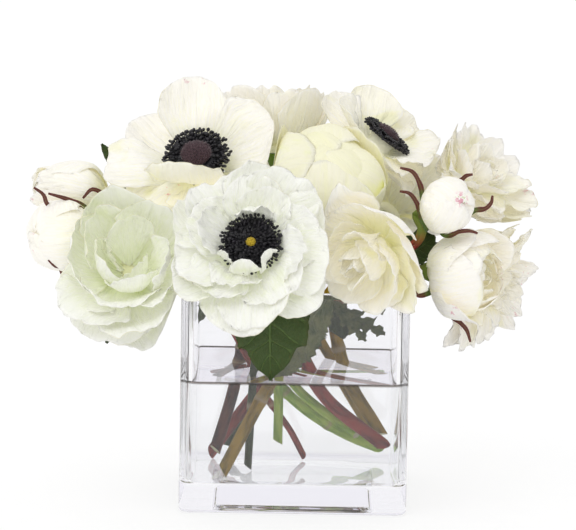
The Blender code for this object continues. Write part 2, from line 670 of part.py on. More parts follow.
STEMS = (
    stem("stem_rose_back", "brown_stem", 0.0070, (-0.0445, 0.020, 0.024),
         ((-0.034, 0.015, 0.0625), (-0.0300, 0.011, 0.090), (-0.045, 0.024, 0.125)), ("rose_back",),
         leaves=(leaf(0.86, (-0.85, 0.35, 0.2), (0, 0.2, 1), 0.046, 0.026, (10, -40, -80)),)),
    stem("stem_rose_right", "red_stem", 0.0065, (-0.047, 0.038, 0.020),
         ((-0.0246, 0.025, 0.053), (0.002, 0.014, 0.088), (0.026, 0.003, 0.113), (0.056, -0.012, 0.131)),
         ("rose_right", "bud_right"), branch=(0.80, (0.070, -0.026, 0.158)),
         leaves=(
             leaf(0.62, (0.25, -0.9, 0.0), (0.1, -0.5, 0.9), 0.030, 0.022, (0, -40, -60), notch=0.35, rows=5),
             leaf(0.80, (0.2, -0.3, 0.9), (0.6, -0.8, 0.1), 0.030, 0.013, (0, -10, -30)),
         ),
         sepals=(("rose_right", ((-92, 0.036), (172, 0.024))),
                 ("bud_right", ((140, 0.034), (172, 0.028), (4, 0.028), (51, 0.025), (-36, 0.020))))),
    stem("stem_rose_front", "olive_stem", 0.0070, (-0.0395, -0.034, 0.0195),
         ((-0.0119, -0.026, 0.072), (0.004, -0.022, 0.098), (0.030, -0.026, 0.132)), ("rose_front",),
         leaves=(
             leaf(0.66, (0.6, -0.7, 0.35), (0.1, -0.3, 0.95), 0.046, 0.032, (0, -62, -80), notch=0.2),
             leaf(0.56, (0.90, -0.28, 0.15), (0.2, -0.6, 0.75), 0.046, 0.034, (0, -15, -20), notch=0.5),
         )),
    stem("stem_cream_bloom", "dark_stem", 0.0045, (-0.0255, -0.014, 0.0195),
         ((-0.0224, -0.012, 0.0845), (-0.015, 0.012, 0.125), (-0.012, 0.036, 0.160)), ("cream_bloom_top",),
         leaves=(leaf(0.70, (-0.15, -0.45, 0.9), (0, -1, 0.2), 0.040, 0.024, (0, 14, 20), rows=5),)),
    stem("stem_anemone_front", "green_stem", 0.0055, (-0.0087, 0.0, 0.032),
         ((-0.0085, -0.004, 0.064), (-0.011, -0.012, 0.092), (-0.018, -0.046, 0.136)), ("anemone_front",),
         leaves=(leaf(0.88, (0.28, -0.9, 0.1), (0, 0, 1), 0.078, 0.042, FOLD_OVER, stalk=0.26, rows=9),)),
    stem("stem_buds_left", "red_stem", 0.0038, (0.006, 0.030, 0.020),
         ((-0.002, 0.022, 0.036), (-0.0135, 0.012, 0.053), (-0.034, 0.004, 0.090), (-0.056, 0.008, 0.130),
          (-0.084, 0.014, 0.152)),
         ("bud_left_upper", "bud_left_lower"), calyx=0.0042, branch=(0.80, (-0.094, 0.010, 0.152)),
         leaves=(leaf(0.88, (-0.45, 0.5, 0.7), (-0.3, -0.9, 0), 0.036, 0.010, (0, 10, 0), notch=0, rows=4),),
         sepals=(("bud_left_upper", ((14, 0.034), (110, 0.030), (195, 0.030))),
                 ("bud_left_lower", ((48, 0.042), (8, 0.038), (272, 0.044), (200, 0.036))))),
    stem("stem_peony_left", "green_stem", 0.0060, (0.0495, 0.045, 0.023),
         ((0.028, 0.030, 0.034), (-0.0069, 0.005, 0.0618), (-0.030, -0.006, 0.092), (-0.058, -0.012, 0.131),
          (-0.082, -0.016, 0.132)),
         ("peony_left",), calyx=0.0075,
         leaves=(
             leaf(0.62, (-0.5, -0.8, 0.1), (0, -0.2, 1), 0.030, 0.014, (0, -40, -60)),
             leaf(0.90, (-0.3, -0.2, -0.9), (-0.2, -1, 0), 0.046, 0.018, (0, 10, 20)),
         )),
    stem("stem_anemone_left", "green_stem", 0.0050, (0.036, 0.0, 0.037),
         ((0.0025, -0.003, 0.0623), (-0.018, -0.004, 0.092), (-0.044, 0.002, 0.145)), ("anemone_left",)),
    stem("stem_ranunculus", "red_stem", 0.0077, (0.052, -0.010, 0.032),
         ((0.014, -0.008, 0.0642), (0.001, -0.006, 0.092), (0.008, 0.003, 0.130)), ("ranunculus_top",),
         calyx=0.0075,
         leaves=(leaf(0.72, (-0.25, -0.9, 0.35), (0, -0.2, 1), 0.036, 0.022, (10, 30, 10), rows=5),)),
    stem("stem_anemone_right", "olive_stem", 0.0070, (0.050, 0.025, 0.034),
         ((0.0268, 0.018, 0.0755), (0.022, 0.015, 0.100), (0.030, 0.018, 0.150)), ("anemone_right",)),
    stem("stem_dahlias", "dark_stem", 0.0055, (-0.038, 0.050, 0.022),
         ((-0.016, 0.036, 0.054), (0.006, 0.026, 0.088), (0.036, 0.020, 0.124), (0.068, 0.022, 0.145)),
         ("dahlia_upper", "dahlia_lower"), branch=(0.80, (0.082, 0.020, 0.132)),
         leaves=(leaf(0.80, (0.7, 0.6, 0.1), (0, 0, 1), 0.046, 0.026, (0, -40, -80)),)),
    stem("stem_back_blooms", "olive_stem", 0.0060, (0.047, 0.048, 0.030),
         ((0.030, 0.036, 0.058), (0.010, 0.030, 0.092), (0.003, 0.048, 0.128)),
         ("anemone_back", "peony_back"), branch=(0.68, (0.028, 0.034, 0.132)),
         leaves=(leaf(0.88, (-0.3, 0.9, 0.1), (0, 0, 1), 0.074, 0.036, FOLD_OVER, stalk=0.26, rows=9),)),
)


def leaf_sheet(shape):
    """A pointed oval on a stalk, with notches cut into its edge, along x with its upper side to z."""
    rows = shape["rows"]
    t = np.linspace(0, 1, rows + 1)[None, :]
    across = np.linspace(-1, 1, shape["ribs"])[:, None]
    blade = np.clip((t - shape["stalk"]) / (1 - shape["stalk"]), 0, 1)
    widest = LEAF_RISE / (LEAF_RISE + LEAF_FALL)
    oval = (blade / widest) ** LEAF_RISE * ((1 - blade) / (1 - widest)) ** LEAF_FALL
    cut = 1 - shape["notch"] * (np.arange(rows + 1) % 2)[None, :]
    half = np.maximum(shape["width"] / 2 * oval * cut, STALK_HALF)
    lean = np.abs(across) * (1 - np.arange(rows + 1) % 2)[None, :] * np.minimum(t, 1 - t) * 0.3
    reach = t + lean
    side = across * half
    cup_radius = shape["width"] / 2 / math.radians(max(shape["fold"], 1))
    raised = np.zeros_like(side)
    return swept_blade(reach, side, raised, shape["lift"], shape["length"], 0, 0, 0, cup_radius)


def leaf_solid(shape, root):
    along = unit(shape["along"])
    side = unit(np.cross(shape["face"], along))
    frame = np.array((along, side, np.cross(along, side)))
    return thickened(leaf_sheet(shape) @ frame + root, LEAF_BLADE)


def sepal_solid(flower, azimuth, length):
    """A narrow curled sepal, rooted in the calyx behind its bloom."""
    frame = bloom_frame(flower["facing"])
    turn = math.radians(azimuth)
    outward = math.cos(turn) * frame[0] + math.sin(turn) * frame[1]
    root = flower["base"] - (CORE_DROP + 0.0035) * flower["facing"]
    lift = flower["sepal_lift"]
    shape = leaf(0, outward, frame[2], length, SEPAL_WIDTH, lift, notch=0, stalk=0, rows=3, ribs=2)
    return leaf_solid(shape, root)


def calyx_path(flower, radius, calyx):
    """The last points of a stem and their radii: it swells below the bloom's flat-bottomed core."""
    top = CORE_DROP + GAP
    drops = (top + CALYX_FLARE, top + 0.5 * CALYX_FLARE, top + 0.0022, top)
    shares = (0.12, 0.62, 1.0, 0.92)
    path = np.array([flower["base"] - drop * flower["facing"] for drop in drops])
    return path, radius + np.array(shares) * (calyx - radius)


def along_path(path, share):
    """The point at this share of a path's length."""
    walked = np.concatenate(((0,), np.cumsum(np.linalg.norm(np.diff(path, axis=0), axis=1))))
    return np.array([np.interp(share * walked[-1], walked, path[:, axis]) for axis in range(3)])


def make_stems():
    flowers = {flower["name"]: flower for flower in BLOOMS}
    routes = []
    for one in STEMS:
        flower = flowers[one["blooms"][0]]
        join = flower["base"] - (CORE_DROP + GAP + CALYX_FLARE) * flower["facing"]
        before = join - STRAIGHT_NECK * flower["facing"]
        routes.append(smooth_route((one["foot"], *one["via"], before, join), STEM_SAMPLES))
    routes = settled(routes, np.array([one["radius"] for one in STEMS]))
    placed = []
    for one, route in zip(STEMS, routes):
        solids = []
        end, end_radii = calyx_path(flowers[one["blooms"][0]], one["radius"], one["calyx"])
        path = np.concatenate((route[:-1:SAMPLES_PER_RING], end))
        radii = np.concatenate((np.full(len(path) - len(end), one["radius"]), end_radii))
        solids.append(tube(path, radii))
        if one["branch"]:
            other = flowers[one["blooms"][1]]
            thin = one["radius"] * BRANCH_THINNER
            end, end_radii = calyx_path(other, thin, one["calyx"])
            fork = along_path(path, one["branch"][0])
            before = end[0] - 0.6 * STRAIGHT_NECK * other["facing"]
            side = smooth_route((fork, *one["branch"][1:], before, end[0]), BRANCH_RINGS + 1)
            radii_side = np.concatenate((np.full(BRANCH_RINGS, thin), end_radii))
            solids.append(tube(np.concatenate((side[:-1], end)), radii_side))
        for shape in one["leaves"]:
            solids.append(leaf_solid(shape, along_path(path, shape["share"])))
        for name, sepals in one["sepals"]:
            solids.extend(sepal_solid(flowers[name], azimuth, length) for azimuth, length in sepals)
        fuse(one["name"], solids, one["colour"])
        placed.append(dict(path=path, radii=radii))
    return placed


def main():
    for old in list(bpy.data.objects):
        bpy.data.objects.remove(old)
    make_vase()
    stems = make_stems()
    make_water(stems)
    for seed, flower in enumerate(BLOOMS):
        make_bloom(flower, seed)
        if flower["name"] in DISCS:
            make_disc(flower)


main()
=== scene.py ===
"""White roses, anemones, peonies and dahlias in a glass cube vase: the looks of the bouquet.

Everything is in metres, but for the tables of blooms and stems, which are in millimetres. The
origin is at the centre of the vase's underside, +Z is up, and the front, which the photograph
shows, is towards -Y. Petals, leaves and sepals are closed blades, stems
are bars along smooth routes, and the vase and the water are stacks of rounded squares. Each point
of a petal, leaf or stem carries two attributes for its finish: "grow", its place on the piece as it
grew, and "tone", what else the colour follows.
"""

import math

import bpy
import numpy as np
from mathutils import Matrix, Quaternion, Vector


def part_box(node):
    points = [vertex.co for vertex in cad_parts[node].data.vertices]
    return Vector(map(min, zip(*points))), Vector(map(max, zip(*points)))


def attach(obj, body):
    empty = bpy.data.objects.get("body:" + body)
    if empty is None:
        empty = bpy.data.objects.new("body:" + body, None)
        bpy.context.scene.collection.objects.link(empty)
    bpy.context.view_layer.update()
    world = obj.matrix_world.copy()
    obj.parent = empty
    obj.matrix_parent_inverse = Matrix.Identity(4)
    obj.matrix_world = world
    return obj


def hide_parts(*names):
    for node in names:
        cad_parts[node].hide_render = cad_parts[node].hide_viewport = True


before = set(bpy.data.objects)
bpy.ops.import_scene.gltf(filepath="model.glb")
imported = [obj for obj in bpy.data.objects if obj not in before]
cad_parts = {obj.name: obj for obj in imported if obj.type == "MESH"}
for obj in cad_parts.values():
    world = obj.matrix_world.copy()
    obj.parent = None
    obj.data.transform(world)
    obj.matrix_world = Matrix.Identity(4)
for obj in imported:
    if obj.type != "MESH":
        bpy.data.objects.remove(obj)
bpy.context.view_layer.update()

bl_info = {
    "name": "Bouquet in a glass cube vase",
    "version": (1, 0, 0),
    "blender": (4, 5, 0),
    "location": "3D View > Sidebar > Bouquet",
    "description": "Makes the petals, leaves, stems, glass and water of a cut-flower arrangement",
    "category": "Add Mesh",
}

VASE_LOW, VASE_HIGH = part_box("glass_vase")
WATER_LOW, WATER_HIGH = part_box("water")

# Vase, as in the model.
VASE_WIDTH = 0.127
VASE_HEIGHT = 0.125
WALL = 0.0045
FLOOR = 0.016
OUTER_CORNER = 0.0055
INNER_CORNER = 0.0060
FOOT_ROUND = 0.0028
RIM_ROUND = 0.0015
INNER_HALF = VASE_WIDTH / 2 - WALL
CORNER_STEPS = 12
FLAT_MARGIN = 0.0006
WATER_OVERLAP = 0.00005
MENISCUS_REACH = 0.0016

# Fits, as in the model: how far the pieces keep off each other, and the space that each bloom has.
GAP = 0.0003
STEM_CLEAR = 0.0017
GLASS_CLEAR = 0.0008
CELL_MARGIN = 0.0009
CELL_SOFTNESS = 0.008

# Petals: their midline, their outline, and how much they differ from each other.
MIDLINE_REACH = 1.4
MIDLINE_STEPS = 140
PETAL_SHOULDER = 0.6
PETAL_TIP_WIDTH = 0.35
PETAL_OUTLINE_WAVE = 0.020
RUFFLE_WAVES = 5
WIDTH_SPREAD = 0.08
LENGTH_SPREAD = 0.05
TURN_SPREAD = 5
LIFT_SPREAD = (0.5, 2.5, 5)

# Leaves and sepals: their outline, their fold in degrees and their relief.
LEAF_RISE = 0.65
LEAF_FALL = 0.75
LEAF_FOLD = 24
LEAF_GROOVE = 0.0005
LEAF_QUILT = 0.00035
LEAF_SWELL = 0.0012
LEAF_RIPPLE = 0.0010
LEAF_BROAD = 0.03
STALK_HALF = 0.0007
SEPAL_WIDTH = 0.0030
SEPAL_TIP = 0.0004

# Stems: the core and the calyx at their top, their girth, and how they make room for each other.
CORE_DROP = 0.0035
CALYX_FLARE = 0.009
CALYX_SHOULDER = 0.0022
CALYX_SWELL = (0.12, 0.62, 1.0, 0.92)
STRAIGHT_NECK = 0.010
BRANCH_THINNER = 0.8
KNUCKLE_WIDTH = 0.0022
KNUCKLE_SWELL = 0.16
STEM_OVAL = 0.035
STEM_RIBS = 0.02
STEM_SAMPLES = 33
SETTLE_ROUNDS = 160
PUSH_SHARE = 0.4
STRAIGHTEN_SHARE = 0.3

# Where the random draws of the blooms, the discs and the stems start.
BLOOM_SEED = 1000
DISC_SEED = 2000
STEM_SEED = 3000

# How finely the pieces are drawn.
PETAL_ACROSS = 18
PETAL_ALONG = 20
LEAF_ACROSS = 12
LEAF_ALONG = 64
SEPAL_ACROSS = 4
SEPAL_ALONG = 22
CORE_SIDES = 24
STEM_SIDES = 18
STEM_RINGS = 110
BRANCH_RINGS = 40
PETAL_THICK = 0.00045
PETAL_THIN = 0.00015
LEAF_THICK = 0.0007


def tint(red, green, blue):
    """A colour given from 0 to 255, as it is seen, turned into light."""
    seen = np.array((red, green, blue)) / 255
    return tuple(np.where(seen <= 0.04045, seen / 12.92, ((seen + 0.055) / 1.055) ** 2.4).tolist())


def unit(vectors):
    """A vector, or each of many along the last axis, brought to the length 1."""
    vectors = np.asarray(vectors, float)
    return vectors / np.linalg.norm(vectors, axis=-1, keepdims=True)


def stacked(*parts):
    """One array whose last axis holds the parts, each stretched to the shape of all."""
    return np.stack(np.broadcast_arrays(*parts), axis=-1)


def circle_angles(count):
    """Even steps round a circle."""
    return np.arange(count) * 2 * math.pi / count


def metres(lengths):
    """Lengths that are written in millimetres."""
    return np.array(lengths, float) / 1000


def bloom_frame(facing):
    """Right, up and facing of a bloom, as seen by someone who looks into it."""
    facing = unit(facing)
    right = np.array((-facing[1], facing[0], 0.0))
    right = np.array((1.0, 0.0, 0.0)) if np.linalg.norm(right) < 0.2 else unit(right)
    return np.array((right, np.cross(facing, right), facing))


# What a petal has where its kind of bloom says nothing else, and which of it is a length in millimetres.
USUAL_PETAL = dict(root=4, height=0, tip=0, ruffle=0, roll=10, neck=0.3, turn=0, frill=0.9, crease=0.5,
                   pucker=1.5, reflex=0, notch=0, fold=0)
PETAL_LENGTHS = ("length", "width", "root", "height", "ruffle", "frill", "crease", "pucker", "reflex")


def kind(core, *whorls, **shared):
    """A kind of bloom: the outline of its turned core, its whorls, and what all its petals share."""
    whorls = [{**USUAL_PETAL, **shared, **whorl} for whorl in whorls]
    for whorl in whorls:
        whorl.update({label: whorl[label] / 1000 for label in PETAL_LENGTHS})
    return dict(core=metres(core), whorls=whorls)


def ring(count, length, width, lift, cup, **more):
    """One whorl of petals: its lifts are the midline's slopes at the root, half way and tip."""
    return dict(count=count, length=length, width=width, lift=lift, cup=cup, **more)


def one(azimuth, length, width, lift, cup, **more):
    """A single petal that grows in this direction, in degrees from the bloom's right towards its up."""
    return ring(1, length, width, lift, cup, turn=azimuth, **more)


# How far the flat bottom of a bloom's core lies behind its petals' roots.
DROP = 1000 * CORE_DROP

# Petals of each kind of bloom, in millimetres and degrees, from the outermost whorl inwards.
KINDS = {
    "broad anemone": kind(
        ((6.5, -DROP), (8, 0), (6.5, 9.2)),
        one(222, 46, 38, (-4, 4, -38), 22, height=-2, frill=1.6, reflex=3),
        one(142, 40, 34, (-4, 12, 6), 20, height=-1.6),
        one(70, 38, 32, (-2, 14, 10), 18, height=-1.2, frill=1.4),
        one(318, 38, 40, (2, 20, 14), 24, height=-0.8),
        one(181, 45, 36, (8, 24, -10), 26, height=0.4, frill=1.2, reflex=2),
        one(32, 41, 42, (10, 24, 8), 26, height=0.8, frill=1.2),
        one(99, 40.5, 32, (16, 32, 22), 28, height=1.6, roll=4),
        one(288, 36, 40, (14, 36, 40), 28, height=2),
        one(262, 38, 42, (16, 56, 112), 26, height=3, roll=4, frill=1.2),
        one(232, 43, 36, (6, 14, -24), 24, height=1.2, frill=2.4, reflex=3),
        frill=1,
    ),
    "anemone": kind(
        ((6.5, -DROP), (8, 0), (6.5, 9.2)),
        ring(5, 43, 38, (6, 36, 8), 28),
        ring(4, 38, 34, (14, 52, 14), 32, turn=36, height=1),
        ring(3, 34, 30, (16, 56, 40), 34, turn=70, height=1.2),
    ),
    "side anemone": kind(
        ((6.5, -DROP), (8, 0), (6.5, 9.2)),
        one(165, 34, 36, (-6, 2, -24), 20, height=-1.2),
        one(245, 36, 38, (-6, 4, -18), 20, height=-1.2),
        one(320, 38, 38, (0, 24, 20), 24, height=-0.8, frill=1),
        one(92, 40, 30, (0, 14, 6), 24, height=-0.6, roll=-34, frill=1.4),
        one(20, 38, 36, (12, 44, 46), 28, roll=-20),
        one(250, 42, 36, (34, 34, 14), 24, height=-0.4, frill=1.8),
        one(292, 44, 36, (38, 40, 22), 24, height=-0.2, frill=1.8),
        one(205, 33, 36, (0, 4, -20), 22),
        one(285, 37, 36, (2, 12, 4), 22),
        one(128, 38, 30, (6, 20, 28), 26, height=0.8, roll=-30, frill=1.4),
        one(48, 40, 29, (16, 46, 54), 26, height=1, roll=-40, frill=0.6),
        one(350, 36, 34, (20, 48, 44), 28, height=1, frill=1),
        frill=1.2,
    ),
    "frilled anemone": kind(
        ((6.5, -DROP), (8, 0), (6.5, 8.8)),
        ring(6, 43, 44, (0, 22, -12), 18, height=0, ruffle=1.3, pucker=1.4),
        ring(5, 40, 42, (2, 36, 0), 22, turn=30, height=0.5, ruffle=1.2, frill=2.2, crease=0.6, pucker=1.4,
             notch=0.06),
        ring(5, 35, 36, (4, 46, 14), 28, turn=64, height=1, crease=0.6, pucker=1.2, notch=0.05),
        ring(4, 30, 30, (6, 52, 52), 30, turn=45, height=1.2, frill=1.8),
        one(238, 27, 20, (8, 52, 148), 24, frill=1),
        one(292, 25, 16, (8, 56, 150), 24, frill=1),
        one(196, 26, 12, (8, 60, 120), 30, frill=0.8),
        one(60, 29, 22, (8, 56, 130), 30, frill=1.4),
        height=1.5, frill=2,
    ),
    "peony": kind(
        ((8, -DROP), (8, 0), (3, 3)),
        one(246, 43, 54, (-8, 18, 14), 26, frill=1.6, reflex=2),
        one(298, 45, 56, (-6, 22, 20), 26, reflex=2),
        one(206, 38, 46, (-4, 30, 40), 34, frill=1.4),
        one(336, 42, 48, (-4, 28, 40), 34, frill=1.4),
        one(226, 47, 56, (0, 40, 54), 40, root=5, reflex=3),
        one(284, 49, 62, (2, 38, 58), 38, root=5, frill=2, reflex=3),
        one(176, 49, 58, (4, 54, 82), 56, root=5, roll=4),
        one(94, 50, 66, (4, 52, 76), 54, root=5, roll=4, frill=2.2),
        one(16, 54, 60, (4, 54, 82), 56, root=5, roll=4),
        one(136, 46, 48, (10, 66, 90), 62, height=1, notch=0.05),
        one(56, 52, 50, (10, 66, 88), 60, height=1, frill=1.4, notch=0.05),
        one(252, 44, 52, (8, 62, 80), 54, height=1, frill=2, reflex=2),
        one(316, 45, 48, (12, 64, 86), 56, height=1, reflex=2),
        one(196, 44, 40, (24, 80, 98), 62, height=2, frill=1.4, notch=0.05),
        one(340, 46, 40, (24, 78, 96), 60, height=2, frill=1.4),
        one(270, 38, 40, (26, 78, 104), 58, height=2, frill=1.4, notch=0.04),
        one(92, 42, 36, (30, 82, 104), 60, height=2, frill=1.2, notch=0.05),
        one(168, 36, 18, (46, 80, 92), 44, height=2, roll=34, frill=1.6, crease=0.6),
        one(300, 26, 24, (50, 84, 110), 60, height=2, frill=1.6),
        frill=1.8,
    ),
    "small peony": kind(
        ((7, -DROP), (9, 0), (6, 5)),
        ring(5, 48, 44, (4, 56, 84), 46, root=5, pucker=1.2, notch=0.0),
        ring(5, 45, 38, (8, 62, 84), 48, turn=50, frill=1.8),
        ring(4, 42, 36, (16, 72, 92), 52, turn=30, height=1, frill=1.8),
        ring(5, 38, 28, (24, 78, 94), 54, turn=20, height=1.5, notch=0.07),
        ring(4, 32, 24, (36, 84, 100), 60, turn=12, root=3, height=2, frill=1.4),
        ring(5, 27, 18, (44, 86, 100), 60, turn=44, root=3, height=2, frill=1.2, notch=0.0),
        frill=1.6, notch=0.06,
    ),
    "globe": kind(
        ((9, -DROP), (12, 2), (16, 14), (15, 28), (7, 36)),
        one(150, 60, 50, (-8, 62, 112), 56, tip=0.0, roll=4, frill=1.6),
        one(330, 52, 50, (-8, 60, 112), 56, tip=0.0, roll=4, frill=1.6),
        one(30, 62, 54, (-6, 66, 124), 58, tip=0.0, roll=4, frill=1.6, notch=0.04),
        one(262, 74, 70, (-6, 78, 188), 70, frill=0.8),
        one(178, 76, 64, (-5, 80, 190), 70, frill=0.8),
        one(84, 75, 66, (-4, 79, 190), 70, frill=0.8),
        one(352, 76, 62, (-4, 80, 190), 70, frill=1),
        ring(4, 70, 56, (6, 90, 198), 74, turn=42, root=4, height=1),
        ring(4, 64, 46, (20, 96, 204), 76, turn=4, root=4, height=1),
        root=6, tip=0.03, roll=3,
    ),
    "open rose": kind(
        ((6.5, -DROP), (8, 0), (6, 6), (4, 14)),
        one(58, 45, 54, (4, 46, 44), 42, frill=1),
        one(106, 44, 40, (6, 52, 52), 42, tip=0.13, frill=1, reflex=3),
        one(158, 37, 40, (4, 50, 60), 44, frill=1, reflex=3),
        one(212, 34, 42, (4, 50, 66), 44, frill=1.2, reflex=3),
        one(276, 41, 52, (0, 42, 58), 38, tip=0.04, frill=2, reflex=3),
        one(334, 42, 46, (2, 44, 62), 42, tip=0.05, frill=1.2, reflex=3),
        one(18, 38, 40, (12, 58, 80), 52, height=1, tip=0.04),
        one(128, 35, 34, (22, 74, 80), 58, height=1, tip=0.06),
        one(300, 34, 38, (14, 62, 84), 56, height=1, frill=1),
        one(236, 30, 34, (20, 72, 90), 60, height=1),
        one(70, 32, 32, (30, 82, 92), 62, height=1.5, reflex=1.5),
        one(350, 30, 30, (32, 82, 94), 62, height=1.5, reflex=1.5),
        one(180, 28, 26, (40, 84, 96), 64, height=1.5, reflex=1),
        ring(3, 24, 24, (50, 88, 100), 68, turn=15, root=3, height=2, reflex=0.8),
        ring(3, 20, 18, (60, 92, 108), 70, turn=70, root=2.4, height=2, reflex=0),
        ring(3, 15, 12, (70, 96, 120), 70, turn=30, root=1.8, height=2, reflex=0),
        reflex=2,
    ),
    "loose rose": kind(
        ((6.5, -DROP), (8, 0), (6, 5), (3, 10)),
        one(62, 53, 60, (4, 56, 70), 46, tip=0.03, frill=1.2, crease=0.3),
        one(112, 46, 50, (6, 52, 56), 42, tip=0.08, frill=1.2, crease=0.3, reflex=5),
        one(10, 49, 50, (4, 54, 72), 44, frill=1.2, crease=0.3),
        one(158, 38, 42, (4, 52, 66), 44, crease=0.3, reflex=3),
        one(212, 36, 44, (4, 50, 66), 44, crease=0.3, reflex=3),
        one(268, 33, 56, (0, 46, 70), 40, tip=0.04, frill=1.6, crease=0.3, reflex=3),
        one(322, 37, 52, (2, 48, 66), 44, tip=0.06, frill=1.4, crease=0.3, reflex=3),
        one(300, 40, 40, (14, 62, 84), 54, height=1),
        one(246, 36, 36, (18, 70, 90), 58, height=1),
        one(186, 36, 34, (18, 72, 92), 58, height=1),
        one(132, 40, 30, (24, 70, 84), 54, height=1),
        one(6, 42, 30, (26, 66, 84), 62, height=1.5, frill=0.8),
        one(40, 42, 22, (40, 72, 82), 66, height=2, frill=0.8),
        one(84, 41, 20, (42, 74, 82), 66, height=2, frill=0.8),
        ring(2, 36, 30, (44, 84, 104), 70, turn=200, root=3, height=2, frill=0.9, reflex=1.5),
        ring(2, 35, 22, (54, 88, 106), 72, turn=110, root=2.6, height=2, frill=0.9, reflex=1),
        ring(2, 34, 15, (62, 90, 108), 74, turn=30, root=2.2, height=2, frill=0.9, reflex=0),
        ring(1, 33, 10, (72, 92, 108), 74, turn=80, root=1.6, height=2, frill=0.9, reflex=0),
        frill=1, crease=0.2, reflex=2,
    ),
    "closed rose": kind(
        ((6.5, -DROP), (9, 0), (10, 8), (7, 20), (3, 26)),
        one(250, 46, 52, (-8, 66, 96), 58, reflex=1),
        one(20, 47, 50, (-6, 70, 104), 60, frill=1, reflex=2),
        one(130, 47, 50, (-6, 72, 110), 60, reflex=1),
        one(196, 52, 66, (-6, 84, 152), 74, roll=2, frill=0.4),
        one(312, 49, 56, (-4, 82, 138), 72, roll=2, frill=0.6),
        one(78, 50, 54, (-4, 84, 140), 72, roll=3, frill=0.6),
        ring(4, 47, 46, (0, 88, 150), 74, turn=30, height=1),
        ring(3, 46, 40, (4, 90, 142), 74, turn=45, height=1, roll=5, reflex=0.6),
        ring(3, 43, 34, (14, 91, 136), 74, turn=15, height=1, roll=6, reflex=0.6),
        ring(3, 38, 26, (30, 92, 136), 74, turn=70, root=3, height=2, roll=8),
        ring(3, 33, 20, (46, 94, 134), 76, turn=30, root=3, height=3, roll=8),
        roll=4,
    ),
    "bud": kind(
        ((4.5, -DROP), (6, 0), (8, 10), (5, 18), (2, 22)),
        ring(3, 44, 50, (-2, 92, 190), 88, tip=0.04, frill=0.3),
        ring(3, 42, 42, (6, 94, 186), 86, turn=60, frill=0.4),
        ring(3, 38, 30, (16, 96, 180), 84, turn=25, roll=5, frill=0.5),
        root=2, roll=3, neck=0.5,
    ),
    "long bud": kind(
        ((4.5, -DROP), (6, 0), (8, 14), (5, 26), (2, 30)),
        ring(3, 56, 52, (24, 90, 168), 84, tip=0.04, roll=1, frill=0.6),
        ring(3, 54, 40, (36, 86, 132), 84, turn=60, roll=4, frill=0.8),
        ring(3, 52, 30, (44, 88, 120), 82, turn=20, roll=5, frill=1.2, notch=0.1),
        root=3, neck=0.5,
    ),
    "dahlia": kind(
        ((6.5, -DROP), (8, 0), (6, 6)),
        ring(8, 37, 23, (10, 10, -8), 24, tip=0.13, frill=1.2),
        ring(7, 35, 23, (22, 20, 4), 26, turn=22, height=0.5, tip=0.12, frill=1.2),
        ring(6, 31, 22, (36, 34, 22), 28, turn=48, height=1, tip=0.11, frill=1.2),
        ring(5, 27, 20, (50, 50, 46), 32, turn=10, height=1.5, tip=0.1, frill=1, crease=0.4, fold=0.04),
        ring(5, 22, 17, (62, 72, 80), 40, turn=40, height=2, tip=0.08, crease=0.4, fold=0.0),
        ring(4, 18, 13, (72, 84, 98), 46, height=2.5, tip=0.06, fold=0.0),
        fold=0.05,
    ),
}

# Planes that hold a bloom off the vase's rim: a point on the rim and the way that is barred.
LEFT_RIM = ((-VASE_WIDTH / 2, 0, VASE_HEIGHT), (0.94, 0, -0.34))
RIGHT_RIM = ((VASE_WIDTH / 2, 0, VASE_HEIGHT), (-0.94, 0, -0.34))
FRONT_RIM = ((0, -VASE_WIDTH / 2, VASE_HEIGHT), (0, 0.75, -0.66))
BACK_RIM = ((0, VASE_WIDTH / 2, VASE_HEIGHT), (0, -0.75, -0.66))
RIM_LEVEL = ((0, 0, VASE_HEIGHT + 0.001), (0, 0, -1))


def bloom(name, kind, base, facing, room, middle, colour, **more):
    """A bloom: base is where its petals grow, room its reach from the middle of its body, in millimetres."""
    middle = metres(base) + middle / 1000 * unit(facing)
    flower = dict(turn=0, size=1.0, clear=(), extra=(), name=name, kind=kind, colour=colour, middle=middle,
                  base=metres(base), facing=unit(facing), frame=bloom_frame(facing), room=room / 1000)
    return {**flower, **more}


# Two petals of the left peony that hang down beside each other.
DROOPING_PETALS = kind((), ring(2, 37, 34, (-6, -18, 6), 24, turn=216, height=-1, frill=1.2))["whorls"]
DROOPING_SPREAD = 46

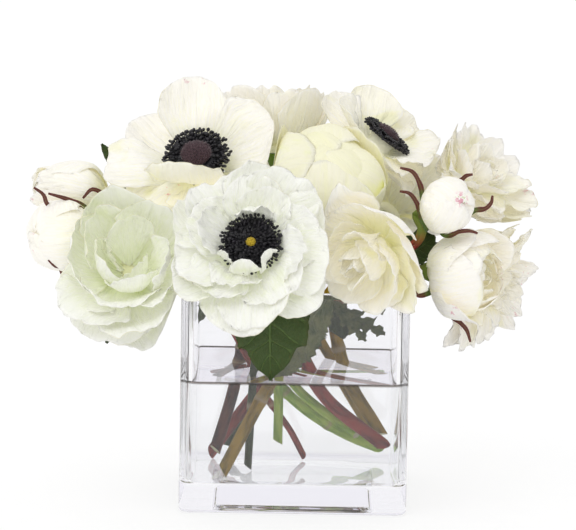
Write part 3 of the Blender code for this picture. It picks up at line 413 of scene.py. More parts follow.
BLOOMS = (
    bloom("anemone_left", "broad anemone", (-56, 2, 184), (-0.10, -0.70, 0.70), 56, 12, "cream", size=1.24),
    bloom("anemone_front", "frilled anemone", (-24.5, -75.6, 150), (-0.05, -0.87, 0.49), 50, 12, "mint",
          turn=24, size=1.10, clear=(FRONT_RIM,)),
    bloom("anemone_right", "side anemone", (43.5, 21, 195), (0.60, -0.09, 0.79), 40, 12, "cream"),
    bloom("anemone_back", "anemone", (0, 76, 149), (0.0, 0.85, 0.5), 42, 12, "cream", turn=10,
          clear=(BACK_RIM,)),
    bloom("peony_left", "peony", (-93, -37, 130), (0.05, -0.85, 0.52), 38, 20, "mint", clear=(LEFT_RIM,),
          extra=DROOPING_PETALS),
    bloom("peony_back", "small peony", (52, 50, 154), (0.5, 0.7, 0.4), 34, 16, "cream", clear=(RIM_LEVEL,)),
    bloom("ranunculus_top", "globe", (13.5, 4, 162), (0.1, -0.60, 0.79), 42, 26, "lemon", size=1.12),
    bloom("cream_bloom_top", "small peony", (-13, 45, 193), (0.0, 0.15, 0.98), 31, 18, "cream", turn=15),
    bloom("rose_front", "loose rose", (45, -53, 151), (-0.46, -0.84, -0.28), 32, 14, "cream", size=1.06,
          clear=(FRONT_RIM,)),
    bloom("rose_right", "closed rose", (80, -25.3, 133), (0.8, -0.57, 0.1), 24, 18, "cream",
          clear=(RIGHT_RIM,)),
    bloom("rose_back", "open rose", (-60, 40, 154), (-0.5, 0.7, 0.5), 30, 16, "cream", clear=(RIM_LEVEL,)),
    bloom("bud_left_upper", "long bud", (-105, 14, 165), (-0.97, -0.16, 0.18), 23, 24, "cream"),
    bloom("bud_left_lower", "bud", (-118, 3, 149), (-0.80, -0.59, -0.05), 26, 18, "cream", size=1.36),
    bloom("bud_right", "bud", (76.3, -34.3, 168.8), (0.5, -0.82, 0.28), 18, 13, "cream"),
    bloom("dahlia_upper", "dahlia", (94, 18.5, 174), (0.62, -0.35, 0.7), 30, 8, "cream", turn=8, size=1.14),
    bloom("dahlia_lower", "dahlia", (103, 14, 124), (0.82, -0.48, -0.25), 33, 8, "cream", turn=20,
          size=1.06, clear=(RIGHT_RIM,)),
)
FLOWERS = {flower["name"]: flower for flower in BLOOMS}

# For each bloom with a black disc: the names of its two nodes, and the button's colour and size.
DISCS = {
    "anemone_left": ("stamens_left", "button_left", "plum", 1.0),
    "anemone_front": ("stamens_front", "eye_front", "yellow", 0.36),
    "anemone_right": ("stamens_right", "button_right", "plum", 1.0),
    "anemone_back": ("stamens_back", "button_back", "plum", 1.0),
}

# Rows of stamens: how many, how far out and how high, as shares of the disc; the eye has three more within.
STAMEN_ROWS = ((30, 0.58, 0.92), (36, 0.66, 0.98), (40, 0.74, 0.96), (44, 0.82, 0.86), (48, 0.90, 0.72),
               (50, 0.97, 0.50))
INNER_STAMENS = ((14, 0.22, 1.25), (18, 0.34, 1.3), (24, 0.46, 1.2))

# The disc, its filaments and anthers, the button with its bumps, and its hairs.
EYE_LOWER = 0.6
BUTTON_RINGS = 22
BUTTON_SIDES = 64
BUTTON_BUMPS = 150
EYE_BUMPS = 26
HAIRS = 520
HAIR_RADIUS = 0.00013
HAIR_LENGTHS = (0.0007, 0.0014)
ANTHER_SIZES = ((0.00070, 0.00095), (0.00062, 0.00085), (0.0008, 0.0012))
FILAMENT_RADIUS = 0.000484
DISC_RADIUS = 0.0105
DISC_HEIGHT = 0.0032
STAMEN_REACH = 0.0152
BUTTON_RADIUS = 0.0067
BUTTON_HEIGHT = 0.0029


# Putting surfaces together.

class Piece:
    """Points and faces of one piece, which grows as surfaces are added to it."""

    def __init__(self):
        self.points, self.faces, self.grow, self.tone = [], [], [], []
        self.count = 0

    def add(self, points, faces, grow, tone):
        """Adds points with their attributes, and faces as one index table to each number of corners."""
        points = np.asarray(points, float).reshape(-1, 3)
        self.faces += [np.asarray(table) + self.count for table in faces]
        self.points.append(points)
        self.grow.append(np.broadcast_to(grow, points.shape))
        self.tone.append(np.broadcast_to(tone, points.shape))
        self.count += len(points)

    def made(self, name, finish, slot, *nodes, sharp=180):
        """Puts the whole arrays into one smooth mesh, which rides on the root and stands for the nodes.

        Edges that turn by more than sharp degrees stay sharp.
        """
        mesh = bpy.data.meshes.new(name)
        corners = np.concatenate([table.ravel() for table in self.faces])
        sizes = np.concatenate([np.full(len(table), table.shape[1]) for table in self.faces])
        starts = np.cumsum(sizes) - sizes
        mesh.vertices.add(self.count)
        mesh.vertices.foreach_set("co", np.concatenate(self.points).astype(np.float32).ravel())
        mesh.loops.add(len(corners))
        mesh.loops.foreach_set("vertex_index", corners.astype(np.int32))
        mesh.polygons.add(len(sizes))
        mesh.polygons.foreach_set("loop_start", starts.astype(np.int32))
        for label, values in (("grow", self.grow), ("tone", self.tone)):
            layer = mesh.attributes.new(label, "FLOAT_VECTOR", "POINT")
            layer.data.foreach_set("vector", np.concatenate(values).astype(np.float32).ravel())
        mesh.update(calc_edges=True)
        mesh.shade_smooth()
        if sharp < 180:
            mesh.set_sharp_from_angle(angle=math.radians(sharp))
        if mesh.validate():
            raise RuntimeError(f"{name} had faces that aren't sound")
        made = bpy.data.objects.new(name, mesh)
        bpy.context.scene.collection.objects.link(made)
        mesh.materials.append(finish)
        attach(made, "root")
        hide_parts(*nodes)
        return made


def sheet_faces(rows, columns):
    """Four-cornered faces of a grid of points, row after row."""
    first = np.arange(rows - 1)[:, None] * columns + np.arange(columns - 1)[None, :]
    return stacked(first, first + columns, first + columns + 1, first + 1).reshape(-1, 4)


def blade_faces(rows, columns):
    """Faces of a closed blade: its upper sheet, its lower sheet turned over, and the rim between them."""
    upper = sheet_faces(rows, columns)
    place = np.arange(rows * columns).reshape(rows, columns)
    here = np.concatenate((place[:, 0], place[-1, 1:], place[-2::-1, -1], place[0, -2:0:-1]))
    there = np.roll(here, -1)
    count = rows * columns
    rim = stacked(here, here + count, there + count, there)
    return np.concatenate((upper, upper[:, ::-1] + count, rim))


def sheet_normals(sheets):
    """Normals of grids of points, each the mean of the normals of the cells round it."""
    slope = sheets[..., 1:, 1:, :] - sheets[..., :-1, :-1, :]
    cell = np.cross(slope, sheets[..., :-1, 1:, :] - sheets[..., 1:, :-1, :])
    cell /= np.maximum(np.linalg.norm(cell, axis=-1, keepdims=True), 1e-12)
    total = np.zeros_like(sheets)
    total[..., :-1, :-1, :] += cell
    total[..., 1:, :-1, :] += cell
    total[..., :-1, 1:, :] += cell
    total[..., 1:, 1:, :] += cell
    return total / np.maximum(np.linalg.norm(total, axis=-1, keepdims=True), 1e-12)


def add_blades(piece, sheets, thickness, grow, tone):
    """Adds closed blades: from each middle surface, half the thickness either way along its normals."""
    count, rows, columns = sheets.shape[:3]
    half = sheet_normals(sheets) * np.asarray(thickness)[..., None] / 2
    points = np.stack((sheets + half, sheets - half), axis=1)
    grow = np.broadcast_to(grow[:, None], points.shape)
    tone = np.array(np.broadcast_to(tone[:, None], points.shape))
    tone[:, 0, ..., 2], tone[:, 1, ..., 2] = 1, 0
    step = 2 * rows * columns * np.arange(count)[:, None, None]
    faces = (blade_faces(rows, columns)[None] + step).reshape(-1, 4)
    piece.add(points, [faces], grow.reshape(-1, 3), tone.reshape(-1, 3))


def ring_faces(rings, around):
    """Faces between closed rings of points, ring after ring."""
    low = np.arange(rings - 1)[:, None] * around
    here, there = np.arange(around)[None, :], (np.arange(around)[None, :] + 1) % around
    return stacked(low + here, low + there, low + around + there, low + around + here).reshape(-1, 4)


def fan_faces(around, start, tip, up):
    """Faces from a closed ring of points to one tip point; up when the tip is above the ring."""
    here, there = np.arange(around) + start, (np.arange(around) + 1) % around + start
    return stacked(here, there, tip) if up else stacked(there, here, tip)


def with_ends(rings):
    """The points of rings, one after another, and then the middles of the first and the last ring."""
    ends = rings[[0, -1]].mean(axis=1)
    return np.concatenate((rings.reshape(-1, rings.shape[-1]), ends))


def add_stack(piece, rings, grow=(0, 0, 0), tone=(0, 0, 0)):
    """Adds a closed solid through rings of points, which closes to a point at the middle of each end."""
    rings = np.asarray(rings)
    count, around = rings.shape[:2]
    total = count * around
    bottom = fan_faces(around, 0, total, False)
    fans = np.concatenate((bottom, fan_faces(around, total - around, total + 1, True)))
    if np.ndim(grow) > 1:
        grow, tone = with_ends(grow), with_ends(tone)
    piece.add(with_ends(rings), [ring_faces(count, around), fans], grow, tone)


def turned(profile, sides):
    """Rings of a solid of revolution about the bloom's own axis, from (radius, height) pairs upwards."""
    angles = circle_angles(sides)
    radius, height = np.asarray(profile, float).T[..., None]
    return stacked(radius * np.cos(angles), radius * np.sin(angles), height)


# Finishes.

class Wire:
    """A shader socket that takes part in sums: each operator adds the Math node of that name."""

    def __init__(self, board, socket):
        self.board, self.socket = board, socket

    def math(self, operation, *others, clamp=False):
        return self.board.add("ShaderNodeMath", {"operation": operation, "use_clamp": clamp}, [self, *others])

    def __add__(self, other):
        return self.math("ADD", other)

    def __sub__(self, other):
        return self.math("SUBTRACT", other)

    def __mul__(self, other):
        return self.math("MULTIPLY", other)

    def __truediv__(self, other):
        return self.math("DIVIDE", other)

    def __pow__(self, other):
        return self.math("POWER", other)

    def __rsub__(self, other):
        return self.board.add("ShaderNodeMath", {"operation": "SUBTRACT"}, [other, self])

    __radd__ = __add__
    __rmul__ = __mul__

    def bounded(self):
        """Held between 0 and 1."""
        return self.math("ADD", 0.0, clamp=True)

    def rising(self, low, high):
        """0 below low, 1 above high, and a smooth step between them."""
        return self.board.add("ShaderNodeMapRange", {"interpolation_type": "SMOOTHSTEP"}, [self, low, high])

    def falling(self, low, high):
        return 1 - self.rising(low, high)


class Board:
    """The nodes of one finish, or of the world's light."""

    def __init__(self, holder):
        holder.use_nodes = True
        self.holder, self.tree = holder, holder.node_tree

    def add(self, kind, settings=None, values=(), out=0):
        """Adds a node of this kind: its settings, then its sockets' values or links, in order or by name."""
        node = self.tree.nodes.new(kind)
        for key, value in (settings or {}).items():
            setattr(node, key, value)
        for place, value in values.items() if isinstance(values, dict) else enumerate(values):
            self.feed(node.inputs[place], value)
        return Wire(self, node.outputs[out])

    def feed(self, socket, value):
        """Links a wire to a socket, or sets the socket to a plain value."""
        if isinstance(value, Wire):
            self.tree.links.new(value.socket, socket)
        elif socket.type == "RGBA":
            socket.default_value = (*value, 1)
        else:
            socket.default_value = value

    def mixed(self, share, first, second):
        """A colour between two: the first at 0, the second at 1."""
        return self.add("ShaderNodeMix", {"data_type": "RGBA"}, {0: share, 6: first, 7: second}, out=2)

    def place(self):
        """Where the point is on the object, in metres."""
        return self.add("ShaderNodeTexCoord", out=3)

    def split(self, vector):
        node = self.add("ShaderNodeSeparateXYZ", values=[vector])
        return [Wire(self, output) for output in node.socket.node.outputs]

    def joined(self, x, y, z):
        return self.add("ShaderNodeCombineXYZ", values=[x, y, z])

    def attribute(self, label):
        return self.add("ShaderNodeAttribute", {"attribute_name": label}, out=1)

    def noise(self, vector, scale, detail=3.0, roughness=0.5, warp=0.0):
        values = {"Vector": vector, "Scale": scale, "Detail": detail}
        return self.add("ShaderNodeTexNoise", {}, {**values, "Roughness": roughness, "Distortion": warp})

    def cells(self, vector, scale, feature="F1"):
        return self.add("ShaderNodeTexVoronoi", {"feature": feature}, {"Vector": vector, "Scale": scale})

    def bump(self, height, strength, distance):
        return self.add("ShaderNodeBump", {}, {"Strength": strength, "Distance": distance, "Height": height})

    def finish(self, colour, roughness, normal, more):
        """Feeds the shader with its colour, roughness and relief, if any, and more of its sockets by name."""
        sockets = {"Base Color": colour, "Roughness": roughness, **more}
        if normal:
            sockets["Normal"] = normal
        for label, value in sockets.items():
            self.feed(self.tree.nodes["Principled BSDF"].inputs[label], value)
        return self.holder


def new_board(name):
    """The board of a new material."""
    return Board(bpy.data.materials.new(name))


BLACK = (0.0, 0.0, 0.0)

# Painted glow that lifts the petals' shade: their emission, as a share of their own colour.
PAINTED_PETAL_GLOW = 0.105

# Where single petals have a blush of pink and green specks, and how far it spreads.
BLUSHES = (
    ((0.0910, -0.058, 0.1785), 0.0060),
    ((0.0430, -0.072, 0.1480), 0.0035),
    ((0.1100, -0.048, 0.1380), 0.0040),
    ((-0.1540, 0.008, 0.1700), 0.0060),
)


def petal_finish(name, blade, deep, root, flecks=0.0):
    """A petal: greener root, pale blade with fine lengthwise veins, painted shade as a deeper tint on the
    inner whorls and in the pleats' grooves, and a painted glow that lifts that shade.
    """
    board = new_board(name)
    x, y, chance = board.split(board.attribute("grow"))
    whorl_depth = board.split(board.attribute("tone"))[0]
    place = board.place()
    reach = y * 0.5 + 0.5
    out = (x * x + y * y) ** 0.5
    strand = board.joined(x * 11, y * 0.9, chance * 37)
    vein = board.noise(strand, 1.6, 4.0, 0.6, 0.4)
    thread = ((vein - 0.5).math("ABSOLUTE") * 9).falling(0.0, 0.5)
    pleat = board.noise(board.joined(x * 4.5, y * 0.9, chance * 19), 1.5, 2.0, 0.5, 0.3)
    cloud = board.noise(place, 55, 4.0, 0.6)
    broad = board.noise(place, 16, 2.0)
    colour = board.mixed(reach.falling(0.02, 0.50) * (cloud * 0.5 + 0.6), blade, root)
    # Painted shade: the inner whorls take the deeper tint, as shade falls deep in the bloom.
    colour = board.mixed((whorl_depth.rising(0.35, 1.0) * 0.6 * (broad * 0.8 + 0.5)).bounded(), colour, deep)
    colour = board.mixed(broad.rising(0.50, 0.75) * 0.5, colour, deep)
    # Painted shade: the pleats' grooves take the deeper tint.
    colour = board.mixed(pleat.falling(0.34, 0.50) * 0.35, colour, deep)
    patch = board.noise(place, 34, 3.0, 0.6, 0.6).rising(0.54, 0.72)
    colour = board.mixed(patch * (0.25 + 0.45 * whorl_depth), colour, root)
    colour = board.mixed(thread * 0.28 * reach.falling(0.45, 1.1), colour, root)
    colour = board.mixed(out.rising(0.90, 1.0) * 0.35, colour, (0.98, 0.97, 0.94))
    # A yellowish line on parts of the rim.
    yellow_rim_line = out.rising(0.965, 1.0) * broad.rising(0.46, 0.58)
    colour = board.mixed(yellow_rim_line * 0.40, colour, tint(224, 216, 150))
    if flecks:
        spot = board.noise(place, 210, 2.0, 0.7).rising(0.60, 0.70)
        spot = spot * board.noise(place, 28, 1.0).rising(0.63, 0.70)
        colour = board.mixed(spot * flecks, colour, tint(214, 130, 152))
        speck = board.noise(place, 420, 2.0, 0.7)
        for point, spread in BLUSHES:
            near = board.add("ShaderNodeVectorMath", {"operation": "DISTANCE"}, [place, point], out=1)
            near = near.falling(spread * 0.4, spread)
            colour = board.mixed(near * speck.rising(0.50, 0.58) * 0.75, colour, tint(222, 132, 160))
            colour = board.mixed(near * speck.falling(0.36, 0.44) * 0.55, colour, tint(170, 190, 96))
    crinkle = board.noise(place, 420, 3.0, 0.6)
    grain = vein * 0.45 + crinkle * 0.25 + pleat * 1.3
    # Painted glow: the emission is strongest at the root and on the inner whorls, where shade falls, and
    # lifts that shade.
    shade = (reach.falling(0.20, 0.95) * 0.6 + whorl_depth.rising(0.2, 0.9) * 0.4).bounded()
    more = {
        "Emission Color": board.mixed(shade * 0.7 + 0.3, BLACK, colour),
        "Emission Strength": PAINTED_PETAL_GLOW,
        "Specular IOR Level": 0.22,
        "Sheen Weight": 0.08,
        "Sheen Roughness": 0.45,
    }
    return board.finish(colour, crinkle * 0.12 + 0.55, board.bump(grain, 0.72, 0.0018), more)


def stamen_finish():
    """Anthers and filaments: glossy blue-black, with paler dust on some."""
    board = new_board("stamen black")
    place = board.place()
    grain = board.noise(place, 900, 3.0, 0.6)
    patch = board.noise(place, 160, 2.0)
    colour = board.mixed(patch.rising(0.45, 0.75) * 0.6, tint(22, 21, 26), tint(52, 48, 56))
    colour = board.mixed(grain.rising(0.55, 0.75) * 0.5, colour, tint(78, 72, 78))
    normal = board.bump(grain, 0.5, 0.0002)
    return board.finish(colour, grain * 0.3 + 0.22, normal, {"Specular IOR Level": 0.6})


def button_finish(name, dark, light):
    """The middle of an anemone: soft and dusty, paler on its bumps' tops."""
    board = new_board(name)
    place = board.place()
    height = board.split(board.attribute("tone"))[0]
    grain = board.noise(place, 700, 3.0, 0.7)
    colour = board.mixed((height * 0.75 + grain * 0.4 - 0.1).bounded(), dark, light)
    more = {"Sheen Weight": 0.4, "Sheen Roughness": 0.4, "Specular IOR Level": 0.25}
    return board.finish(colour, grain * 0.2 + 0.65, board.bump(grain, 0.6, 0.0003), more)


def stem_finish(name, skin, shade, streak):
    """A stem's skin: streaks along it, darker patches, pale corky spots, a node ring, and a pale cut foot."""
    board = new_board(name)
    grow = board.attribute("grow")
    across, beside, along = board.split(grow)
    knuckle, cut, tip = board.split(board.attribute("tone"))
    strand = board.noise(board.joined(across * 5, beside * 5, along * 45), 1.0, 4.0, 0.6)
    patch = board.noise(board.joined(across * 0.8, beside * 0.8, along * 60), 1.0, 3.0, 0.55)
    spot = board.cells(board.joined(across * 2.2, beside * 2.2, along * 420), 1.0)
    colour = board.mixed(patch.rising(0.38, 0.66), skin, shade)
    colour = board.mixed(strand.rising(0.50, 0.72) * 0.55, colour, streak)
    colour = board.mixed(spot.falling(0.10, 0.22) * 0.45, colour, tint(190, 165, 125))
    colour = board.mixed(knuckle * 0.8, colour, tint(196, 174, 140))
    colour = board.mixed(tip * 0.9, colour, tint(112, 138, 62))
    colour = board.mixed(cut, colour, tint(205, 200, 160))
    height = strand * 0.6 + spot.rising(0.0, 0.3) * 0.3
    more = {"Specular IOR Level": 0.12, "Subsurface Weight": 0.05, "Subsurface Scale": 0.002}
    return board.finish(colour, patch * 0.25 + 0.35, board.bump(height, 0.5, 0.0005), more)


def leaf_finish(name, upper, under, vein, edge):
    """A leaf: pale midrib and side veins that lean forward, a net of small ones, and a paler underside."""
    board = new_board(name)
    x, along, ribs = board.split(board.attribute("grow"))
    grey, chance, top = board.split(board.attribute("tone"))
    place = board.place()
    away = x.math("ABSOLUTE")
    cloud = board.noise(place, 90, 3.0, 0.6)
    midrib = away.falling(0.02, 0.07)
    phase = (along * ribs - away * 0.9 + board.noise(place, 60, 1.0) * 0.25).math("FRACT")
    side_vein = ((phase - 0.5).math("ABSOLUTE")).falling(0.03, 0.10) * away.falling(0.80, 1.0)
    net = board.cells(board.joined(x * 9, along * 26, chance * 10), 1.0, "DISTANCE_TO_EDGE")
    net = net.falling(0.02, 0.12)
    lines = (midrib + side_vein * 0.75 + net * 0.22).bounded()
    face = board.mixed(top, under, upper)
    face = board.mixed(cloud.rising(0.35, 0.75) * 0.45, face, under)
    face = board.mixed(grey * cloud.rising(0.25, 0.60), face, tint(134, 138, 92))
    vein = board.mixed(grey, vein, tint(156, 164, 128))
    face = board.mixed(lines * (0.35 + 0.35 * top), face, vein)
    face = board.mixed(away.rising(0.90, 1.0) * 0.5, face, edge)
    grain = board.noise(place, 600, 2.0)
    normal = board.bump(grain * 0.3 + cloud * 0.9 - lines * 0.8, 0.9, 0.0012)
    more = {"Specular IOR Level": 0.3, "Subsurface Weight": 0.06, "Subsurface Scale": 0.002}
    return board.finish(face, cloud * 0.2 + 0.32, normal, more)


def sepal_finish():
    """A sepal or calyx: green at its root, wine red at its tip, with fine dark streaks."""
    board = new_board("sepal green and red")
    x, along = board.split(board.attribute("grow"))[:2]
    cloud = board.noise(board.place(), 140, 3.0, 0.6)
    red = (along + cloud * 0.5 - 0.25).rising(0.30, 0.62)
    colour = board.mixed(red, tint(96, 120, 58), tint(104, 48, 46))
    colour = board.mixed(x.math("ABSOLUTE").falling(0.1, 0.5) * 0.25, colour, tint(150, 160, 90))
    streak = board.noise(board.joined(x * 4, along * 2.5, 0.0), 2.0, 3.0)
    colour = board.mixed(streak.rising(0.5, 0.75) * 0.4, colour, tint(60, 52, 36))
    more = {"Specular IOR Level": 0.4, "Subsurface Weight": 0.05, "Subsurface Scale": 0.002}
    return board.finish(colour, cloud * 0.2 + 0.40, board.bump(streak, 0.4, 0.0004), more)


def glass_finish():
    """Clear pressed glass: a breath of grey, more at its corners and in its thick foot, with slow waves."""
    board = new_board("glass clear")
    place = board.place()
    x, y, z = board.split(place)
    corner = x.math("ABSOLUTE").rising(0.0575, 0.0630) * y.math("ABSOLUTE").rising(0.0575, 0.0630)
    foot = z.falling(0.0145, 0.0185)
    wave = board.noise(place, 14, 1.0)
    haze = board.noise(place, 70, 3.0)
    clear = board.mixed(wave, (0.965, 0.962, 0.98), (0.945, 0.95, 0.96))
    colour = board.mixed((foot + corner).bounded(), clear, (0.84, 0.83, 0.89))
    more = {"Transmission Weight": 1.0, "IOR": 1.5, "Specular IOR Level": 0.5}
    return board.finish(colour, haze.rising(0.7, 0.9) * 0.002, board.bump(wave, 0.10, 0.0010), more)


def water_finish():
    """Water: clear, with a breath of green, a painted dark line where it climbs the glass, which stands for
    shade at the meniscus, and a painted lavender-grey on its surface, which stands for reflected light.
    """
    board = new_board("water clear")
    wave = board.noise(board.place(), 45, 2.0)
    line, top = board.split(board.attribute("tone"))[:2]
    colour = board.mixed(wave, (0.995, 0.997, 0.993), (0.988, 0.993, 0.986))
    # Painted reflection: the lavender-grey that the surface shows is painted into its colour.
    colour = board.mixed(top, colour, tint(238, 233, 244))
    # Painted shade: a dark line along the meniscus, where the water climbs the glass.
    colour = board.mixed(line.rising(0.972, 0.995), colour, tint(70, 60, 54))
    more = {"Transmission Weight": 1.0, "IOR": 1.333}
    return board.finish(colour, wave * 0.001, board.bump(wave, 0.08, 0.0010), more)


# Vase and water.

def rounded_square(half, corner, height):
    """A ring of points round a square with rounded corners, counter-clockwise from above.

    Each corner's arc has a point on the flat just before it and one just after it, which keeps the
    flats flat.
    """
    corner = min(corner, 0.6 * half)
    beside = min(FLAT_MARGIN, 0.4 * (half - corner))
    turns = np.concatenate(((0,), np.linspace(0, math.pi / 2, CORNER_STEPS + 1), (math.pi / 2,)))
    slide = np.concatenate(((-beside,), np.zeros(CORNER_STEPS + 1), (beside,)))
    angles = np.concatenate([turns + quarter * math.pi / 2 for quarter in range(4)])
    slide = np.tile(slide, 4)
    middle = np.repeat(((1, 1), (-1, 1), (-1, -1), (1, -1)), len(turns), axis=0) * (half - corner)
    x = middle[:, 0] + corner * np.cos(angles) - slide * np.sin(angles)
    y = middle[:, 1] + corner * np.sin(angles) + slide * np.cos(angles)
    return stacked(x, y, height)


def hollow_rings(overlap, top, dome):
    """The vase's hollow from its floor's middle up to the top: a domed floor, a fillet and the walls."""
    half = INNER_HALF + overlap
    fillet = INNER_CORNER * 0.5
    foot = half - fillet
    rings = []
    for share in (0.05, 0.2, 0.35, 0.5, 0.65, 0.8, 0.9, 0.96, 1.0):
        height = FLOOR - overlap + dome * (1 + math.cos(math.pi * share)) / 2
        rings.append(rounded_square(foot * share, INNER_CORNER - 0.5 * fillet, height))
    for turn in np.radians(np.linspace(10, 90, 9)):
        inset = fillet * (1 - math.sin(turn))
        height = FLOOR - overlap + fillet * (1 - math.cos(turn))
        rings.append(rounded_square(half - inset, INNER_CORNER - 0.5 * inset, height))
    rings.append(rounded_square(half, INNER_CORNER, FLOOR - overlap + fillet + FLAT_MARGIN))
    rings.append(rounded_square(half, INNER_CORNER, top - FLAT_MARGIN))
    rings.append(rounded_square(half, INNER_CORNER, top))
    return rings


# What the stems and leaves are like.

def leaf(share, along, face, length, width, lift, **more):
    """A leaf: share is its place on its stem's length, along and face its first direction and upper side."""
    shape = dict(notch=0.25, stalk=0.12, rows=7, teeth=13, serration=0.08, point=LEAF_FALL, grey=0)
    shape.update(share=share, along=along, face=face, lift=lift, length=length / 1000, width=width / 1000)
    return {**shape, **more}


def stem(name, colour, width, foot, via, blooms, leaves=(), calyx=6, branch=(), curls=()):
    """A stem from its foot by way of some points to its first bloom, and by its branch to the second one.

    The branch starts at a share of the stem's length and goes by way of its points. Curls are the
    lines of its bloom's long sepals. All lengths are in millimetres.
    """
    branch = branch and (branch[0], *metres(branch[1:]))
    return dict(name=name, colour=colour, radius=width / 2 / 1000, foot=metres(foot), via=metres(via),
                blooms=blooms, leaves=leaves, calyx=calyx / 1000, branch=branch,
                curls=[metres(points) for points in curls])


# The way to which the narrow sepals are open.
FRONT_UP = (0, -1, 0.3)

# Lifts of a leaf that folds over the vase's rim and hangs down outside it.
FOLD_OVER = (5, -110, -88)

